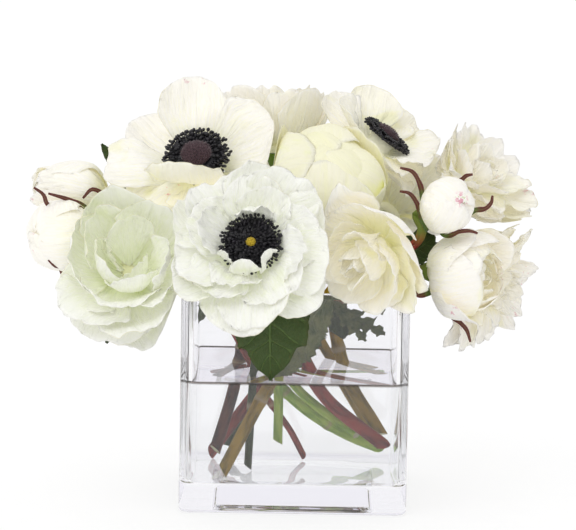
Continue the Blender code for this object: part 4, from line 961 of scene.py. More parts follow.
# Every stem with its leaves, in millimetres; shares of its length and directions have no unit.
STEMS = (
    stem("stem_rose_back", "brown", 7, (-44.5, 20, 24), ((-34, 15, 62.5), (-30, 11, 90), (-45, 24, 125)),
         ("rose_back",), leaves=(
        leaf(0.86, (-0.85, 0.35, 0.2), (0, 0.2, 1), 46, 26, (10, -40, -80)),
    )),
    stem("stem_rose_right", "red", 6.5, (-47, 38, 20), ((-24.6, 25, 53), (2, 14, 88), (26, 3, 113),
         (56, -12, 131)), ("rose_right", "bud_right"), branch=(0.80, (70, -26, 158)), leaves=(
        leaf(0.62, (0.25, -0.9, 0.0), (0.1, -0.5, 0.9), 30, 22, (0, -40, -60), notch=0.35, rows=5),
        leaf(0.80, (0.2, -0.3, 0.9), (0.6, -0.8, 0.1), 30, 13, (0, -10, -30)),
        leaf(0.72, (0.12, -0.2, 0.95), (0.1, -0.95, -0.1), 44, 17, (0, 8, 20), notch=0.1, serration=0.16),
        leaf(0.66, (-0.25, -0.1, 0.95), (0.2, -0.9, 0.2), 40, 22, (0, 8, -10), notch=0.1, serration=0.16),
        leaf(0.85, (0.72, -0.25, 0.62), (-0.45, -0.85, 0.2), 34, 22, (0, 6, -10), notch=0.1,
             serration=0.16),
        leaf(0.72, (0.75, -0.6, 0.25), (0, -0.3, 1), 36, 20, (0, -20, -50), notch=0.3, serration=0.2),
    ), curls=(
        ((73, -34, 166), (70, -40, 175), (67.5, -44, 185), (63, -47, 192), (56.5, -48, 194)),
        ((73, -34, 158), (69, -42, 166), (66, -46, 174.5), (61.5, -48, 180), (56.5, -49, 181)),
        ((86, -28, 177), (91.5, -30, 185.5), (94, -31, 188), (97.5, -32, 189)),
        ((91.5, -30, 163), (99, -34, 169), (105, -36, 170.5), (108, -37, 174), (108.5, -38, 178)),
        ((79, -32, 159), (84, -45, 156), (91, -51, 159.5), (96, -53, 160), (100, -54, 159)),
        ((81.5, -24, 115), (86, -36, 110), (91.5, -41, 107), (95.5, -43, 103), (98, -43, 96)),
        ((77, -24, 124), (73, -36, 121.5), (68, -40, 121.5), (64.5, -42, 127.5), (61.5, -44, 127.5)),
    )),
    stem("stem_rose_front", "olive", 7, (-39.5, -34, 19.5), ((-11.9, -26, 72), (4, -22, 98),
         (30, -26, 132)), ("rose_front",), leaves=(
        leaf(0.66, (0.6, -0.7, 0.35), (0.1, -0.3, 0.95), 38, 24, (0, -62, -80), notch=0.15, teeth=17,
             serration=0.2, grey=0.7),
        leaf(0.62, (-0.55, -0.30, -0.78), (-0.1, -1, 0.3), 60, 30, (8, 0, -12), notch=0.06, teeth=21,
             serration=0.22, stalk=0.04, grey=1),
        leaf(0.58, (0.84, -0.28, -0.40), (0.2, -0.9, 0.4), 40, 17, (0, -14, 16), notch=0.7, rows=9,
             stalk=0.04, serration=0.35, grey=0.6),
        leaf(0.60, (0.60, -0.34, -0.66), (0.2, -0.9, 0.4), 34, 15, (0, -10, 12), notch=0.7, rows=9,
             stalk=0.04, serration=0.35, grey=0.9),
        leaf(0.74, (0.90, -0.16, -0.40), (0.1, -0.9, 0.4), 26, 18, (0, -16, -20), notch=0.5, rows=9,
             stalk=0.04, serration=0.3, teeth=15),
    )),
    stem("stem_cream_bloom", "dark", 4.5, (-25.5, -14, 19.5), ((-22.4, -12, 84.5), (-15, 12, 125),
         (-12, 36, 160)), ("cream_bloom_top",), leaves=(
        leaf(0.70, (-0.15, -0.45, 0.9), (0, -1, 0.2), 40, 24, (0, 14, 20), rows=5),
    )),
    stem("stem_anemone_front", "green", 5.5, (-8.7, 0, 32), ((-8.5, -4, 64), (-11, -12, 92),
         (-18, -46, 136)), ("anemone_front",), leaves=(
        leaf(0.88, (0.28, -0.9, 0.1), (0, 0, 1), 78, 46, FOLD_OVER, notch=0, stalk=0.26, rows=9, teeth=27,
             serration=0.05, point=1.15),
    )),
    stem("stem_buds_left", "red", 3.8, (6, 30, 20), ((-2, 22, 36), (-13.5, 12, 53), (-34, 4, 90),
         (-56, 8, 130), (-84, 14, 152)), ("bud_left_upper", "bud_left_lower"), calyx=4.2, branch=(0.80,
         (-94, 10, 152)), leaves=(
        leaf(0.88, (-0.55, 0.03, 0.82), (-0.3, -0.9, 0), 50, 11, (0, 6, 10), notch=0, rows=4),
    ), curls=(
        ((-125, 4, 157), (-135, -6, 162), (-141, -15, 166), (-143, -20, 172), (-148, -22, 176)),
        ((-113, 2, 152), (-117, -8, 161), (-124.5, -15, 167), (-132, -18, 170), (-140, -20, 172.5)),
        ((-104.5, 8, 161), (-108, -2, 167.5), (-111, -8, 172), (-116, -11, 174), (-121, -12, 169)),
        ((-113, 0, 155), (-116, -14, 154), (-119.5, -22, 150), (-121, -25, 145)),
        ((-117, 4, 144.5), (-123, -10, 136), (-129.5, -17, 132), (-135, -20, 131), (-139.5, -22, 135)),
        ((-119.5, 6, 141), (-127, -4, 131), (-133, -10, 128), (-131, -12, 124), (-127, -13, 120.5)),
    )),
    stem("stem_peony_left", "green", 6, (49.5, 45, 23), ((28, 30, 34), (-6.9, 5, 61.8), (-30, -6, 92),
         (-58, -12, 131), (-82, -16, 132)), ("peony_left",), calyx=7.5, leaves=(
        leaf(0.62, (-0.5, -0.8, 0.1), (0, -0.2, 1), 30, 14, (0, -40, -60)),
        leaf(0.90, (-0.3, -0.2, -0.9), (-0.2, -1, 0), 46, 18, (0, 10, 20)),
    )),
    stem("stem_anemone_left", "green", 5, (36, 0, 37), ((2.5, -3, 62.3), (-18, -4, 92), (-44, 2, 145)),
         ("anemone_left",)),
    stem("stem_ranunculus", "red", 7.7, (52, -10, 32), ((14, -8, 64.2), (1, -6, 92), (8, 3, 130)),
         ("ranunculus_top",), calyx=7.5, leaves=(
        leaf(0.72, (-0.25, -0.9, 0.35), (0, -0.2, 1), 36, 22, (10, 30, 10), rows=5),
        leaf(0.86, (0.8, -0.45, 0.35), (-0.2, 0.1, 1), 36, 20, (4, 10, -10), rows=5),
        leaf(0.84, (-0.6, -0.6, 0.5), (0.1, 0.1, 1), 32, 18, (6, 10, 0), rows=5),
        leaf(0.80, (0.3, 0.85, 0.4), (0, -0.2, 1), 34, 18, (4, 8, -6), rows=5),
    )),
    stem("stem_anemone_right", "olive", 7, (50, 25, 34), ((26.8, 18, 75.5), (22, 15, 100), (30, 18, 150)),
         ("anemone_right",)),
    stem("stem_dahlias", "dark", 5.5, (-38, 50, 22), ((-16, 36, 54), (6, 26, 88), (36, 20, 124),
         (68, 22, 145)), ("dahlia_upper", "dahlia_lower"), branch=(0.80, (82, 20, 132)), leaves=(
        leaf(0.80, (0.7, 0.6, 0.1), (0, 0, 1), 46, 26, (0, -40, -80)),
    )),
    stem("stem_back_blooms", "olive", 6, (47, 48, 30), ((30, 36, 58), (10, 30, 92), (3, 48, 128)),
         ("anemone_back", "peony_back"), branch=(0.68, (28, 34, 132)), leaves=(
        leaf(0.88, (-0.3, 0.9, 0.1), (0, 0, 1), 74, 36, FOLD_OVER, stalk=0.26, rows=9),
    )),
)


# Petals and blooms.

def midline(lift, length, reach):
    """Distance out, height and slope along a line whose slope is a quadratic curve of the lifts."""
    t = np.linspace(0, MIDLINE_REACH, MIDLINE_STEPS + 1)
    held = np.minimum(t, 1)
    slope = np.radians((1 - held) ** 2 * lift[0] + 2 * held * (1 - held) * lift[1] + held**2 * lift[2])
    step = length * MIDLINE_REACH / MIDLINE_STEPS
    out = np.concatenate(((0,), np.cumsum(np.cos(slope[:-1])))) * step
    up = np.concatenate(((0,), np.cumsum(np.sin(slope[:-1])))) * step
    return np.interp(reach, t, out), np.interp(reach, t, up), np.interp(reach, t, slope)


def swept_blade(reach, side, raised, lift, length, root, height, azimuth, cup_radius):
    """Places a flat outline on its bent midline: side is cupped, raised lies along the inner normal."""
    out, up, slope = midline(lift, length, reach)
    bend = side / cup_radius
    off = cup_radius * (1 - np.cos(bend)) + raised
    lateral = cup_radius * np.sin(bend)
    radial = root + out - off * np.sin(slope)
    level = height + up + off * np.cos(slope)
    c, s = math.cos(azimuth), math.sin(azimuth)
    return stacked(radial * c - lateral * s, radial * s + lateral * c, level)


def disc_grid(across, along):
    """A square grid drawn into the unit disc, so that its border is the disc's rim."""
    a = np.linspace(-1, 1, across + 1)[:, None]
    b = np.linspace(-1, 1, along + 1)[None, :]
    return a * np.sqrt(1 - b * b / 2), b * np.sqrt(1 - a * a / 2)


def petal_sheet(whorl, azimuth, chance, size, phase):
    """The middle surface of one petal, in its bloom's frame.

    The outline is the unit disc, with shallow waves round it, stretched along the midline and
    narrowed towards the root. Relief is added to it: the rim's waves grow with the fourth power
    of the distance from the middle, creases run lengthwise, a slow pucker crosses both, the rim
    near the tip rolls back by the reflex, and a fold is a keel along the midline.
    """
    x, y = disc_grid(PETAL_ACROSS, PETAL_ALONG)
    around = np.arctan2(x, y)
    rim = x * x + y * y
    wave = np.sin(2 * around + phase[0]) + 0.6 * np.sin(5 * around + phase[1])
    wave = wave + 0.4 * np.sin(11 * around + phase[2])
    grown = 1 + PETAL_OUTLINE_WAVE * rim * wave
    x, y = x * grown, y * grown
    reach = (y + 1) / 2
    taper = whorl["neck"] + (1 - whorl["neck"]) * np.clip(reach / PETAL_SHOULDER, 0, 1)
    reach = reach + whorl["tip"] * np.exp(-((x / PETAL_TIP_WIDTH) ** 2)) * np.maximum(0, y) ** 2
    reach = reach - whorl["notch"] * np.exp(-(((x - 0.2 * chance[2]) / 0.16) ** 2)) * np.maximum(0, y) ** 6
    width = whorl["width"] * size * (1 + WIDTH_SPREAD * chance[0])
    length = whorl["length"] * size * (1 + LENGTH_SPREAD * chance[1])
    side = x * taper * width / 2
    cup_radius = width / 2 / math.radians(whorl["cup"])
    edge = rim**2
    raised = side * math.tan(math.radians(whorl["roll"]))
    raised = raised + whorl["ruffle"] * size * edge * np.sin(RUFFLE_WAVES * around + 3 * chance[2])
    frill = 0.5 * np.sin(3 * around + phase[3]) + 0.35 * np.sin(8 * around + phase[4])
    frill = frill + 0.26 * np.sin(15 * around + phase[5]) + 0.14 * np.sin(27 * around + phase[0])
    raised = raised + 1.35 * whorl["frill"] * size * edge * frill
    crease = np.sin(9 * x + 2 * y + phase[6]) + 0.7 * np.sin(17 * x - 3 * y + phase[7])
    raised = raised + whorl["crease"] * size * crease * np.clip(reach, 0, 1) * (1 - 0.5 * rim)
    pucker = np.sin(2.4 * x + 1.1 * y + phase[8]) * np.sin(2.9 * y + phase[9])
    raised = raised + whorl["pucker"] * size * pucker
    outer = np.clip((np.sqrt(rim) - 0.58) / 0.42, 0, 1) ** 2
    outer = outer * (0.55 + 0.45 * np.cos(around + 0.8 * chance[2]))
    raised = raised - whorl["reflex"] * size * outer
    raised = raised + whorl["fold"] * width * np.abs(x) * np.clip(reach, 0, 1)
    lift = np.array(whorl["lift"]) + np.array(LIFT_SPREAD) * chance[3]
    return swept_blade(
        reach, side, raised, lift, length, whorl["root"] * size, whorl["height"] * size, azimuth, cup_radius
    )


def on_bloom(flower, points):
    """Points of a bloom's own frame, put where the bloom is."""
    return points @ flower["frame"] + flower["base"]


def cell_planes(flower):
    """Planes that keep a bloom's petals in its own space: one to each near bloom, and the rim's."""
    planes = [(np.array(point), unit(barred)) for point, barred in flower["clear"]]
    for other in BLOOMS:
        away = other["middle"] - flower["middle"]
        distance = np.linalg.norm(away)
        if other is flower or distance > 1.5 * (flower["room"] + other["room"]):
            continue
        share = flower["room"] / (flower["room"] + other["room"])
        planes.append((flower["middle"] + share * away, away / distance))
    return planes


def held_in(points, planes):
    """Bends a sheet back from each plane: points slow down as they near it and never reach it."""
    for place, barred in planes:
        depth = (points - place) @ barred + CELL_MARGIN
        over = np.maximum(0, depth + CELL_SOFTNESS)
        held = np.where(over > 0, -CELL_SOFTNESS * np.exp(-over / CELL_SOFTNESS), depth)
        points = points + (held - depth)[..., None] * barred
    return points


def make_bloom(flower, finish):
    """All petals of one bloom, whorl by whorl, held in its own space, and the core that they grow from."""
    kind, size = KINDS[flower["kind"]], flower["size"]
    planes = cell_planes(flower)
    random = np.random.default_rng(BLOOM_SEED + BLOOMS.index(flower))
    x, y = disc_grid(PETAL_ACROSS, PETAL_ALONG)
    sheets, grow, tone = [], [], []
    whorls = (*flower["extra"], *kind["whorls"])
    for order, whorl in enumerate(whorls):
        spread = DROOPING_SPREAD if whorl in flower["extra"] else 360 / whorl["count"]
        for number in range(whorl["count"]):
            chance = random.uniform(-1, 1, 4)
            azimuth = math.radians(flower["turn"] + whorl["turn"] + number * spread + TURN_SPREAD * chance[1])
            sheet = petal_sheet(whorl, azimuth, chance, size, random.uniform(0, 2 * math.pi, 10))
            sheets.append(held_in(on_bloom(flower, sheet), planes))
            grow.append(stacked(x, y, chance[0]))
            # The tone's first value is how deep the whorl lies in the bloom; the finish gives the inner
            # whorls painted shade and a painted glow.
            tone.append(np.broadcast_to((order / len(whorls), chance[3], 0), sheet.shape))
    thickness = PETAL_THICK + (PETAL_THIN - PETAL_THICK) * np.clip(x * x + y * y, 0, 1)
    piece = Piece()
    add_blades(piece, np.array(sheets), thickness, np.array(grow), np.array(tone))
    profile = [(radius * size, level if level < 0 else level * size) for radius, level in kind["core"]]
    add_stack(piece, on_bloom(flower, turned(profile, CORE_SIDES)), (0, -1, 0), (0.4, 0, 1))
    return piece.made(flower["name"] + "_petals", finish, "petal_" + flower["colour"], flower["name"])


def pointed_bean(sides=6, levels=(-0.75, -0.1, 0.6)):
    """Points and faces of a small unit ellipsoid along z: rings at the levels and a point at each end."""
    levels = np.array(levels)
    rings = turned(stacked(np.sqrt(1 - levels**2), levels), sides)
    points = np.concatenate((rings.reshape(-1, 3), ((0, 0, -1), (0, 0, 1))))
    last = len(points) - 2
    fans = np.concatenate((fan_faces(sides, 0, last, False), fan_faces(sides, last - sides, last + 1, True)))
    return points, [ring_faces(len(levels), sides), fans]


def add_repeated(piece, shape, places, frames, stretch, tone):
    """Adds one small shape at many places: stretched along its own axes, then turned by each frame."""
    points, tables = shape
    scaled = points[None] * stretch[:, None, :]
    moved = scaled @ frames + places[:, None]
    step = len(points) * np.arange(len(places))[:, None, None]
    tables = [(table[None] + step).reshape(-1, table.shape[1]) for table in tables]
    tone = np.repeat(tone, len(points), axis=0)
    piece.add(moved, tables, (0, 0, 0), tone)


def frames_along(directions):
    """For each direction, three square axes as rows, the third of them along it."""
    third = unit(directions)
    first = unit(np.cross(third, (0.31, 0.52, 0.79)))
    return np.stack((first, np.cross(third, first), third), axis=1)


def make_disc(flower, stamen, button_finishes):
    """The black disc: a dark bed, rows of filaments that end in anthers, and the button on top."""
    stamens, button, colour, share = DISCS[flower["name"]]
    size, place = flower["size"], flower["frame"]
    seat = KINDS[flower["kind"]]["core"][-1][1] * size + GAP
    radius, thick = DISC_RADIUS * size, DISC_HEIGHT * size
    detail = np.random.default_rng(DISC_SEED + BLOOMS.index(flower))
    piece = Piece()
    wide = size * STAMEN_REACH
    bed = ((radius * 0.66, seat), (wide * 0.84, seat + thick * 0.15), (wide * 0.86, seat + thick * 0.45),
           (wide * 0.6, seat + thick * 0.7))
    add_stack(piece, on_bloom(flower, turned(bed, 20)))
    rows = STAMEN_ROWS if share == 1 else (*INNER_STAMENS, *STAMEN_ROWS)
    ends, roots = [], []
    for number, out, level in rows:
        turn = (np.arange(number) + detail.uniform(-0.35, 0.35, number)) * 2 * math.pi / number
        reach = wide * out * (1 + detail.uniform(-0.05, 0.07, number))
        height = seat + thick * (level + detail.uniform(-0.3, 0.35, number))
        ends.append(stacked(reach * np.cos(turn), reach * np.sin(turn), height))
        start = np.minimum(radius * 0.72, reach * 0.6)
        roots.append(stacked(start * np.cos(turn), start * np.sin(turn), seat + thick * 0.4))
    ends, roots = np.concatenate(ends), np.concatenate(roots)
    count = len(ends)
    frames = frames_along(ends - roots + (0, 0, 0.0012) + detail.uniform(-0.0018, 0.0018, (count, 3)))
    stretch = size * stacked(*(detail.uniform(low, high, count) for low, high in ANTHER_SIZES))
    tones = stacked(detail.uniform(0, 1, count), 1, 0)
    add_repeated(piece, pointed_bean(), on_bloom(flower, ends), frames @ place, stretch, tones)
    span = ends - roots
    middle = on_bloom(flower, roots + span / 2)
    length = np.linalg.norm(span, axis=1) / 2
    thin = stacked(FILAMENT_RADIUS * size, FILAMENT_RADIUS * size, length * 1.05)
    add_repeated(piece, pointed_bean(4, (-0.9, 0.9)), middle, frames_along(span) @ place, thin, tones)
    piece.made(stamens + "_ring", stamen, "stamen_black", stamens)
    make_button(flower, button, share, seat + thick, detail, button_finishes[colour])


def make_button(flower, node, share, floor, detail, finish):
    """The button: a dome with a raised bump at each place of a sunflower spiral, and short hairs."""
    size = flower["size"]
    wide = BUTTON_RADIUS * size * share
    tall = BUTTON_HEIGHT * size * (1 if share == 1 else EYE_LOWER)
    top = floor + GAP
    rise = np.linspace(0, math.pi / 2 * 0.97, BUTTON_RINGS)
    dome = turned(stacked(np.cos(rise), np.sin(rise)), BUTTON_SIDES)
    count = BUTTON_BUMPS if share == 1 else EYE_BUMPS
    number = np.arange(count) + 0.5
    level = number / count
    angle = number * math.pi * (3 - math.sqrt(5))
    out = np.sqrt(1 - level**2)
    seeds = stacked(out * np.cos(angle), out * np.sin(angle), level)
    apart = np.sqrt(np.maximum(0, 2 - 2 * dome @ seeds.T)).min(axis=-1)
    spacing = math.sqrt(2 * math.pi / count)
    bump = np.maximum(0, 1 - (apart / (0.55 * spacing)) ** 2)
    swell = 1 + (0.07 if share == 1 else 0.10) * bump
    points = dome * swell[..., None] * (wide, wide, tall) + (0, 0, top)
    piece = Piece()
    add_stack(piece, on_bloom(flower, points), dome, stacked(bump, 0, 0))
    if share == 1:
        hairs = detail.normal(size=(HAIRS, 3))
        hairs[:, 2] = np.abs(hairs[:, 2]) + 0.15
        hairs = unit(hairs)
        roots = on_bloom(flower, hairs * (wide, wide, tall) + (0, 0, top))
        lean = hairs + detail.uniform(-0.45, 0.45, (HAIRS, 3))
        stretch = size * stacked(HAIR_RADIUS, HAIR_RADIUS, detail.uniform(*HAIR_LENGTHS, HAIRS))
        light = stacked(detail.uniform(0.7, 1.2, HAIRS), 1, 0)
        frames = frames_along(lean) @ flower["frame"]
        add_repeated(piece, pointed_bean(3, (-0.4, 0.3)), roots, frames, stretch, light)
    slot = "button_plum" if share == 1 else "eye_yellow"
    piece.made(node + "_dome", finish, slot, node)


# Routes of the stems, and what grows on them.

def walked_lengths(path):
    """The length walked along a path to each of its points."""
    return np.concatenate(((0,), np.cumsum(np.linalg.norm(np.diff(path, axis=0), axis=1))))


def read_at(lengths, walked, path):
    """The points of a path at these lengths, read between the points that it has."""
    return stacked(*(np.interp(lengths, walked, path[:, axis]) for axis in range(3)))


def smooth_route(points, count):
    """A smooth curve through the points, read at even steps of its length."""
    points = np.asarray(points, float)
    lengths = walked_lengths(points)
    slopes = np.gradient(points, lengths, axis=0)
    fine = np.linspace(0, lengths[-1], 200)
    part = np.clip(np.searchsorted(lengths, fine, side="right") - 1, 0, len(points) - 2)
    span = lengths[part + 1] - lengths[part]
    t = ((fine - lengths[part]) / span)[:, None]
    span = span[:, None]
    curve = (2 * t**3 - 3 * t**2 + 1) * points[part] + (t**3 - 2 * t**2 + t) * span * slopes[part]
    curve += (3 * t**2 - 2 * t**3) * points[part + 1] + (t**3 - t**2) * span * slopes[part + 1]
    walked = walked_lengths(curve)
    return read_at(np.linspace(0, walked[-1], count), walked, curve)


def settled(routes, radii):
    """Pushes crossing stems apart and keeps them off the glass, as stems lie in a full vase."""
    routes = np.array(routes)
    start = routes.copy()
    number, samples = routes.shape[:2]
    owner = np.repeat(np.arange(number), samples)
    radius = np.repeat(radii, samples)
    need = radius[:, None] + radius[None, :] + STEM_CLEAR
    need[owner[:, None] == owner[None, :]] = 0
    place = np.arange(samples)
    free = np.clip(np.minimum(place / 3, (samples - 1 - place) / 4), 0, 1)[None, :, None]
    for _ in range(SETTLE_ROUNDS):
        points = routes.reshape(-1, 3)
        apart = points[:, None] - points[None]
        distance = np.maximum(np.linalg.norm(apart, axis=-1), 1e-6)
        push = np.maximum(0, need - distance) / distance
        step = (push[..., None] * apart).sum(axis=1) * PUSH_SHARE
        moved = routes + step.reshape(routes.shape) * free - start
        bent = moved[:, :-2] + moved[:, 2:] - 2 * moved[:, 1:-1]
        moved[:, 1:-1] += STRAIGHTEN_SHARE * bent * free[:, 1:-1]
        routes = off_the_glass(start + moved, radii[:, None])
    return routes


def off_the_glass(routes, radii):
    """A point of a stem is either inside the walls or above the rim, whichever is nearer."""
    limit = INNER_HALF - radii - GLASS_CLEAR
    outward = np.abs(routes[..., :2]).max(axis=-1) - limit
    sunk = VASE_HEIGHT + radii + GLASS_CLEAR - routes[..., 2]
    through = (outward > 0) & (sunk > 0)
    inward = through & (outward <= sunk)
    for axis in (0, 1):
        kept = np.clip(routes[..., axis], -limit, limit)
        routes[..., axis] = np.where(inward, kept, routes[..., axis])
    routes[..., 2] = np.where(through & ~inward, routes[..., 2] + sunk, routes[..., 2])
    return routes


def stem_routes():
    """The settled middle line of every stem, to where its calyx begins."""
    routes = []
    for one in STEMS:
        flower = FLOWERS[one["blooms"][0]]
        join = flower["base"] - (CORE_DROP + GAP + CALYX_FLARE) * flower["facing"]
        before = join - STRAIGHT_NECK * flower["facing"]
        routes.append(smooth_route((one["foot"], *one["via"], before, join), STEM_SAMPLES))
    return settled(routes, np.array([one["radius"] for one in STEMS]))


def calyx_path(flower, radius, calyx):
    """The last points of a stem and their radii: it swells below the bloom's flat-bottomed core."""
    top = CORE_DROP + GAP
    drops = np.array((top + CALYX_FLARE, top + 0.5 * CALYX_FLARE, top + CALYX_SHOULDER, top))
    path = flower["base"] - drops[:, None] * flower["facing"]
    return path, radius + np.array(CALYX_SWELL) * (calyx - radius)


def along_path(path, share):
    """The point at this share of a path's length."""
    walked = walked_lengths(path)
    return read_at(share * walked[-1], walked, path)


def bar_frames(path):
    """The direction of a path at each of its points, and two directions square to it and to each other."""
    along = unit(np.gradient(path, axis=0))
    side = unit(np.cross(along, (0.8, 0.6, 0.0)))
    return along, side, np.cross(along, side)


def add_bar(piece, path, radii, count, knuckles, slant, detail, green_from):
    """A stem along a path: its radius is read at even steps and swells at each knuckle.

    Its foot is cut on a slant, its girth isn't quite round, and its colour turns green after a share
    of its length.
    """
    fine = smooth_route(path, count)
    walked, source = walked_lengths(fine), walked_lengths(path)
    share = walked / walked[-1]
    radius = np.interp(share, source / source[-1], radii)
    ringed = np.zeros(count)
    for place in knuckles:
        near = np.exp(-(((share - place) * walked[-1] / KNUCKLE_WIDTH) ** 2))
        radius = radius * (1 + KNUCKLE_SWELL * near)
        ringed = np.maximum(ringed, near * (share > place - 0.004))
    along, side, other = bar_frames(fine)
    angles = circle_angles(STEM_SIDES)
    phase = detail.uniform(0, 6, 3)
    girth = 1 + STEM_OVAL * np.sin(2 * angles[None] + 30 * walked[:, None] + phase[0])
    girth = girth + STEM_RIBS * np.sin(5 * angles[None] - 17 * walked[:, None] + phase[1])
    circle = np.cos(angles)[None, :, None] * side[:, None] + np.sin(angles)[None, :, None] * other[:, None]
    rings = fine[:, None] + circle * (radius[:, None] * girth)[..., None]
    lean = slant * radius[0] * np.cos(angles - phase[2])[:, None] * along[0]
    fade = np.exp(-walked / (1.2 * radius[0]))[:, None, None]
    rings = rings + lean[None] * fade
    middle = rings[0].mean(axis=0)
    cap = [middle + (rings[0] - middle) * inset for inset in (0.55, 0.93)]
    rings = np.concatenate((np.array(cap), rings))
    walked, ringed = np.concatenate(((0, 0), walked)), np.concatenate(((0, 0), ringed))
    green = np.concatenate(((0, 0), np.clip((share - green_from) / 0.12, 0, 1)))
    cut = np.zeros(len(rings))
    cut[:2] = 1
    grow = stacked(np.cos(angles), np.sin(angles), walked[:, None])
    tone = np.broadcast_to(stacked(ringed, cut, green)[:, None], rings.shape)
    add_stack(piece, rings, grow, tone)
    return fine


def leaf_sheet(shape, phase):
    """A pointed oval on a stalk along x with its upper side to z.

    Lobes are cut into its edge as the model cuts them, and small forward-leaning teeth between them.
    The midrib and the side veins lie in shallow grooves and the blade swells between them.
    """
    t = np.linspace(0, 1, LEAF_ALONG + 1)[None, :]
    x = np.linspace(-1, 1, LEAF_ACROSS + 1)[:, None]
    blade = np.clip((t - shape["stalk"]) / (1 - shape["stalk"]), 0, 1)
    widest = LEAF_RISE / (LEAF_RISE + shape["point"])
    oval = (blade / widest) ** LEAF_RISE * ((1 - blade) / (1 - widest)) ** shape["point"]
    lobe = 1 - np.abs((t * shape["rows"]) % 2 - 1)
    tooth = (t * shape["teeth"] + 0.3 * np.sign(x)) % 1
    half = shape["width"] / 2 * oval * (1 - shape["notch"] * lobe) * (1 - shape["serration"] * tooth)
    half = np.maximum(half, STALK_HALF)
    lean = np.abs(x) * (1 - lobe) * np.minimum(t, 1 - t) * 0.3
    side = x * half
    groove = -LEAF_GROOVE * np.exp(-((x / 0.10) ** 2)) * blade * (1 - blade) * 4
    quilt = LEAF_QUILT * np.cos(2 * math.pi * (t * shape["rows"] - 0.9 * np.abs(x)))
    quilt = quilt * np.abs(x) * (1 - x * x) * 2
    swell = LEAF_SWELL * np.sin(2.6 * t * math.pi + phase[0]) * np.sin(1.7 * x + phase[1]) * blade
    ripple = LEAF_RIPPLE * np.sin(11 * t + phase[2] + 2 * np.sign(x)) * x**2 * blade
    raised = (groove + quilt + swell + ripple) * min(1.0, shape["width"] / LEAF_BROAD)
    cup_radius = shape["width"] / 2 / math.radians(LEAF_FOLD)
    sheet = swept_blade(t + lean, side, raised, shape["lift"], shape["length"], 0, 0, 0, cup_radius)
    return sheet, stacked(x, t, float(shape["rows"]))


def add_leaf(piece, shape, root, detail):
    """A leaf from this root, turned so that it grows its own way and shows its upper side to its face."""
    direction = unit(shape["along"])
    side = unit(np.cross(shape["face"], direction))
    place = np.array((direction, side, np.cross(direction, side)))
    sheet, grow = leaf_sheet(shape, detail.uniform(0, 6, 3))
    tone = np.broadcast_to((shape["grey"], detail.uniform(), 0), sheet.shape)
    thickness = LEAF_THICK * (1 - 0.6 * np.abs(grow[..., 0]) ** 3)
    add_blades(piece, (sheet @ place + root)[None], thickness, grow[None], tone[None])


def add_curl(piece, points, detail):
    """A sepal along a smooth line: a narrow gutter that tapers to its tip and is open to the front."""
    t = np.linspace(0, 1, SEPAL_ALONG + 1)
    x = np.linspace(-1, 1, SEPAL_ACROSS + 1)[:, None, None]
    route = smooth_route(points, SEPAL_ALONG + 1)
    direction = np.gradient(route, axis=0)
    side = unit(np.cross(direction, FRONT_UP))
    hollow = unit(np.cross(side, direction))
    half = SEPAL_WIDTH / 2 * (1 - t) ** 0.7 * (1 + 0.12 * np.sin(26 * t)) + SEPAL_TIP
    sheet = route + x * half[:, None] * side + x * x * half[:, None] * 0.5 * hollow
    grow = stacked(x[..., 0], t, 3.0)
    tone = np.broadcast_to((0, detail.uniform(), 0), sheet.shape)
    add_blades(piece, sheet[None], LEAF_THICK, grow[None], tone[None])


# What a user would change.

def colour_value(name, description, red, green, blue):
    """A colour among the settings, given from 0 to 255."""
    default = tint(red, green, blue)
    return bpy.props.FloatVectorProperty(name=name, description=description, default=default, subtype="COLOR")


class VaseSettings(bpy.types.PropertyGroup):
    dome: bpy.props.FloatProperty(
        name="Floor dome", description="How far the vase's inner floor rises at its middle",
        default=0.0024, unit="LENGTH")
    hollow: bpy.props.FloatProperty(
        name="Base hollow", description="How far the vase's underside is pressed in",
        default=0.0021, unit="LENGTH")
    water_level: bpy.props.FloatProperty(
        name="Water level", description="Height of the water's surface",
        default=WATER_HIGH[2], unit="LENGTH")
    meniscus: bpy.props.FloatProperty(
        name="Meniscus", description="How far the water climbs at the glass",
        default=0.0012, unit="LENGTH")


class PetalSettings(bpy.types.PropertyGroup):
    cream: colour_value("Cream", "Blade of the cream petals", 253, 250, 244)
    # The inside tints are painted shade, which the finish gives to the inner whorls and the pleats' grooves,
    # and also random clouds.
    cream_deep: colour_value("Cream, inside", "Cream petals deep in the bloom", 251, 248, 231)
    cream_root: colour_value("Cream, root", "Root of the cream petals", 243, 242, 192)
    mint: colour_value("Mint", "Blade of the mint petals", 247, 247, 241)
    mint_deep: colour_value("Mint, inside", "Mint petals deep in the bloom", 243, 245, 230)
    mint_root: colour_value("Mint, root", "Root of the mint petals", 224, 232, 178)
    lemon: colour_value("Lemon", "Blade of the lemon petals", 243, 240, 218)
    lemon_deep: colour_value("Lemon, inside", "Lemon petals deep in the bloom", 241, 239, 198)
    lemon_root: colour_value("Lemon, root", "Root of the lemon petals", 236, 242, 160)
    flecks: bpy.props.FloatProperty(
        name="Pink flecks", description="Strength of the pink flecks on cream petals",
        default=0.7, subtype="FACTOR")


class StemSettings(bpy.types.PropertyGroup):
    slant: bpy.props.FloatProperty(
        name="Cut slant", description="Slant of the stems' cut feet, in radii",
        default=0.7)
    leaf_upper: colour_value("Leaf, upper", "Upper side of the dark leaves", 17, 42, 10)
    leaf_under: colour_value("Leaf, under", "Underside of the dark leaves", 66, 84, 42)


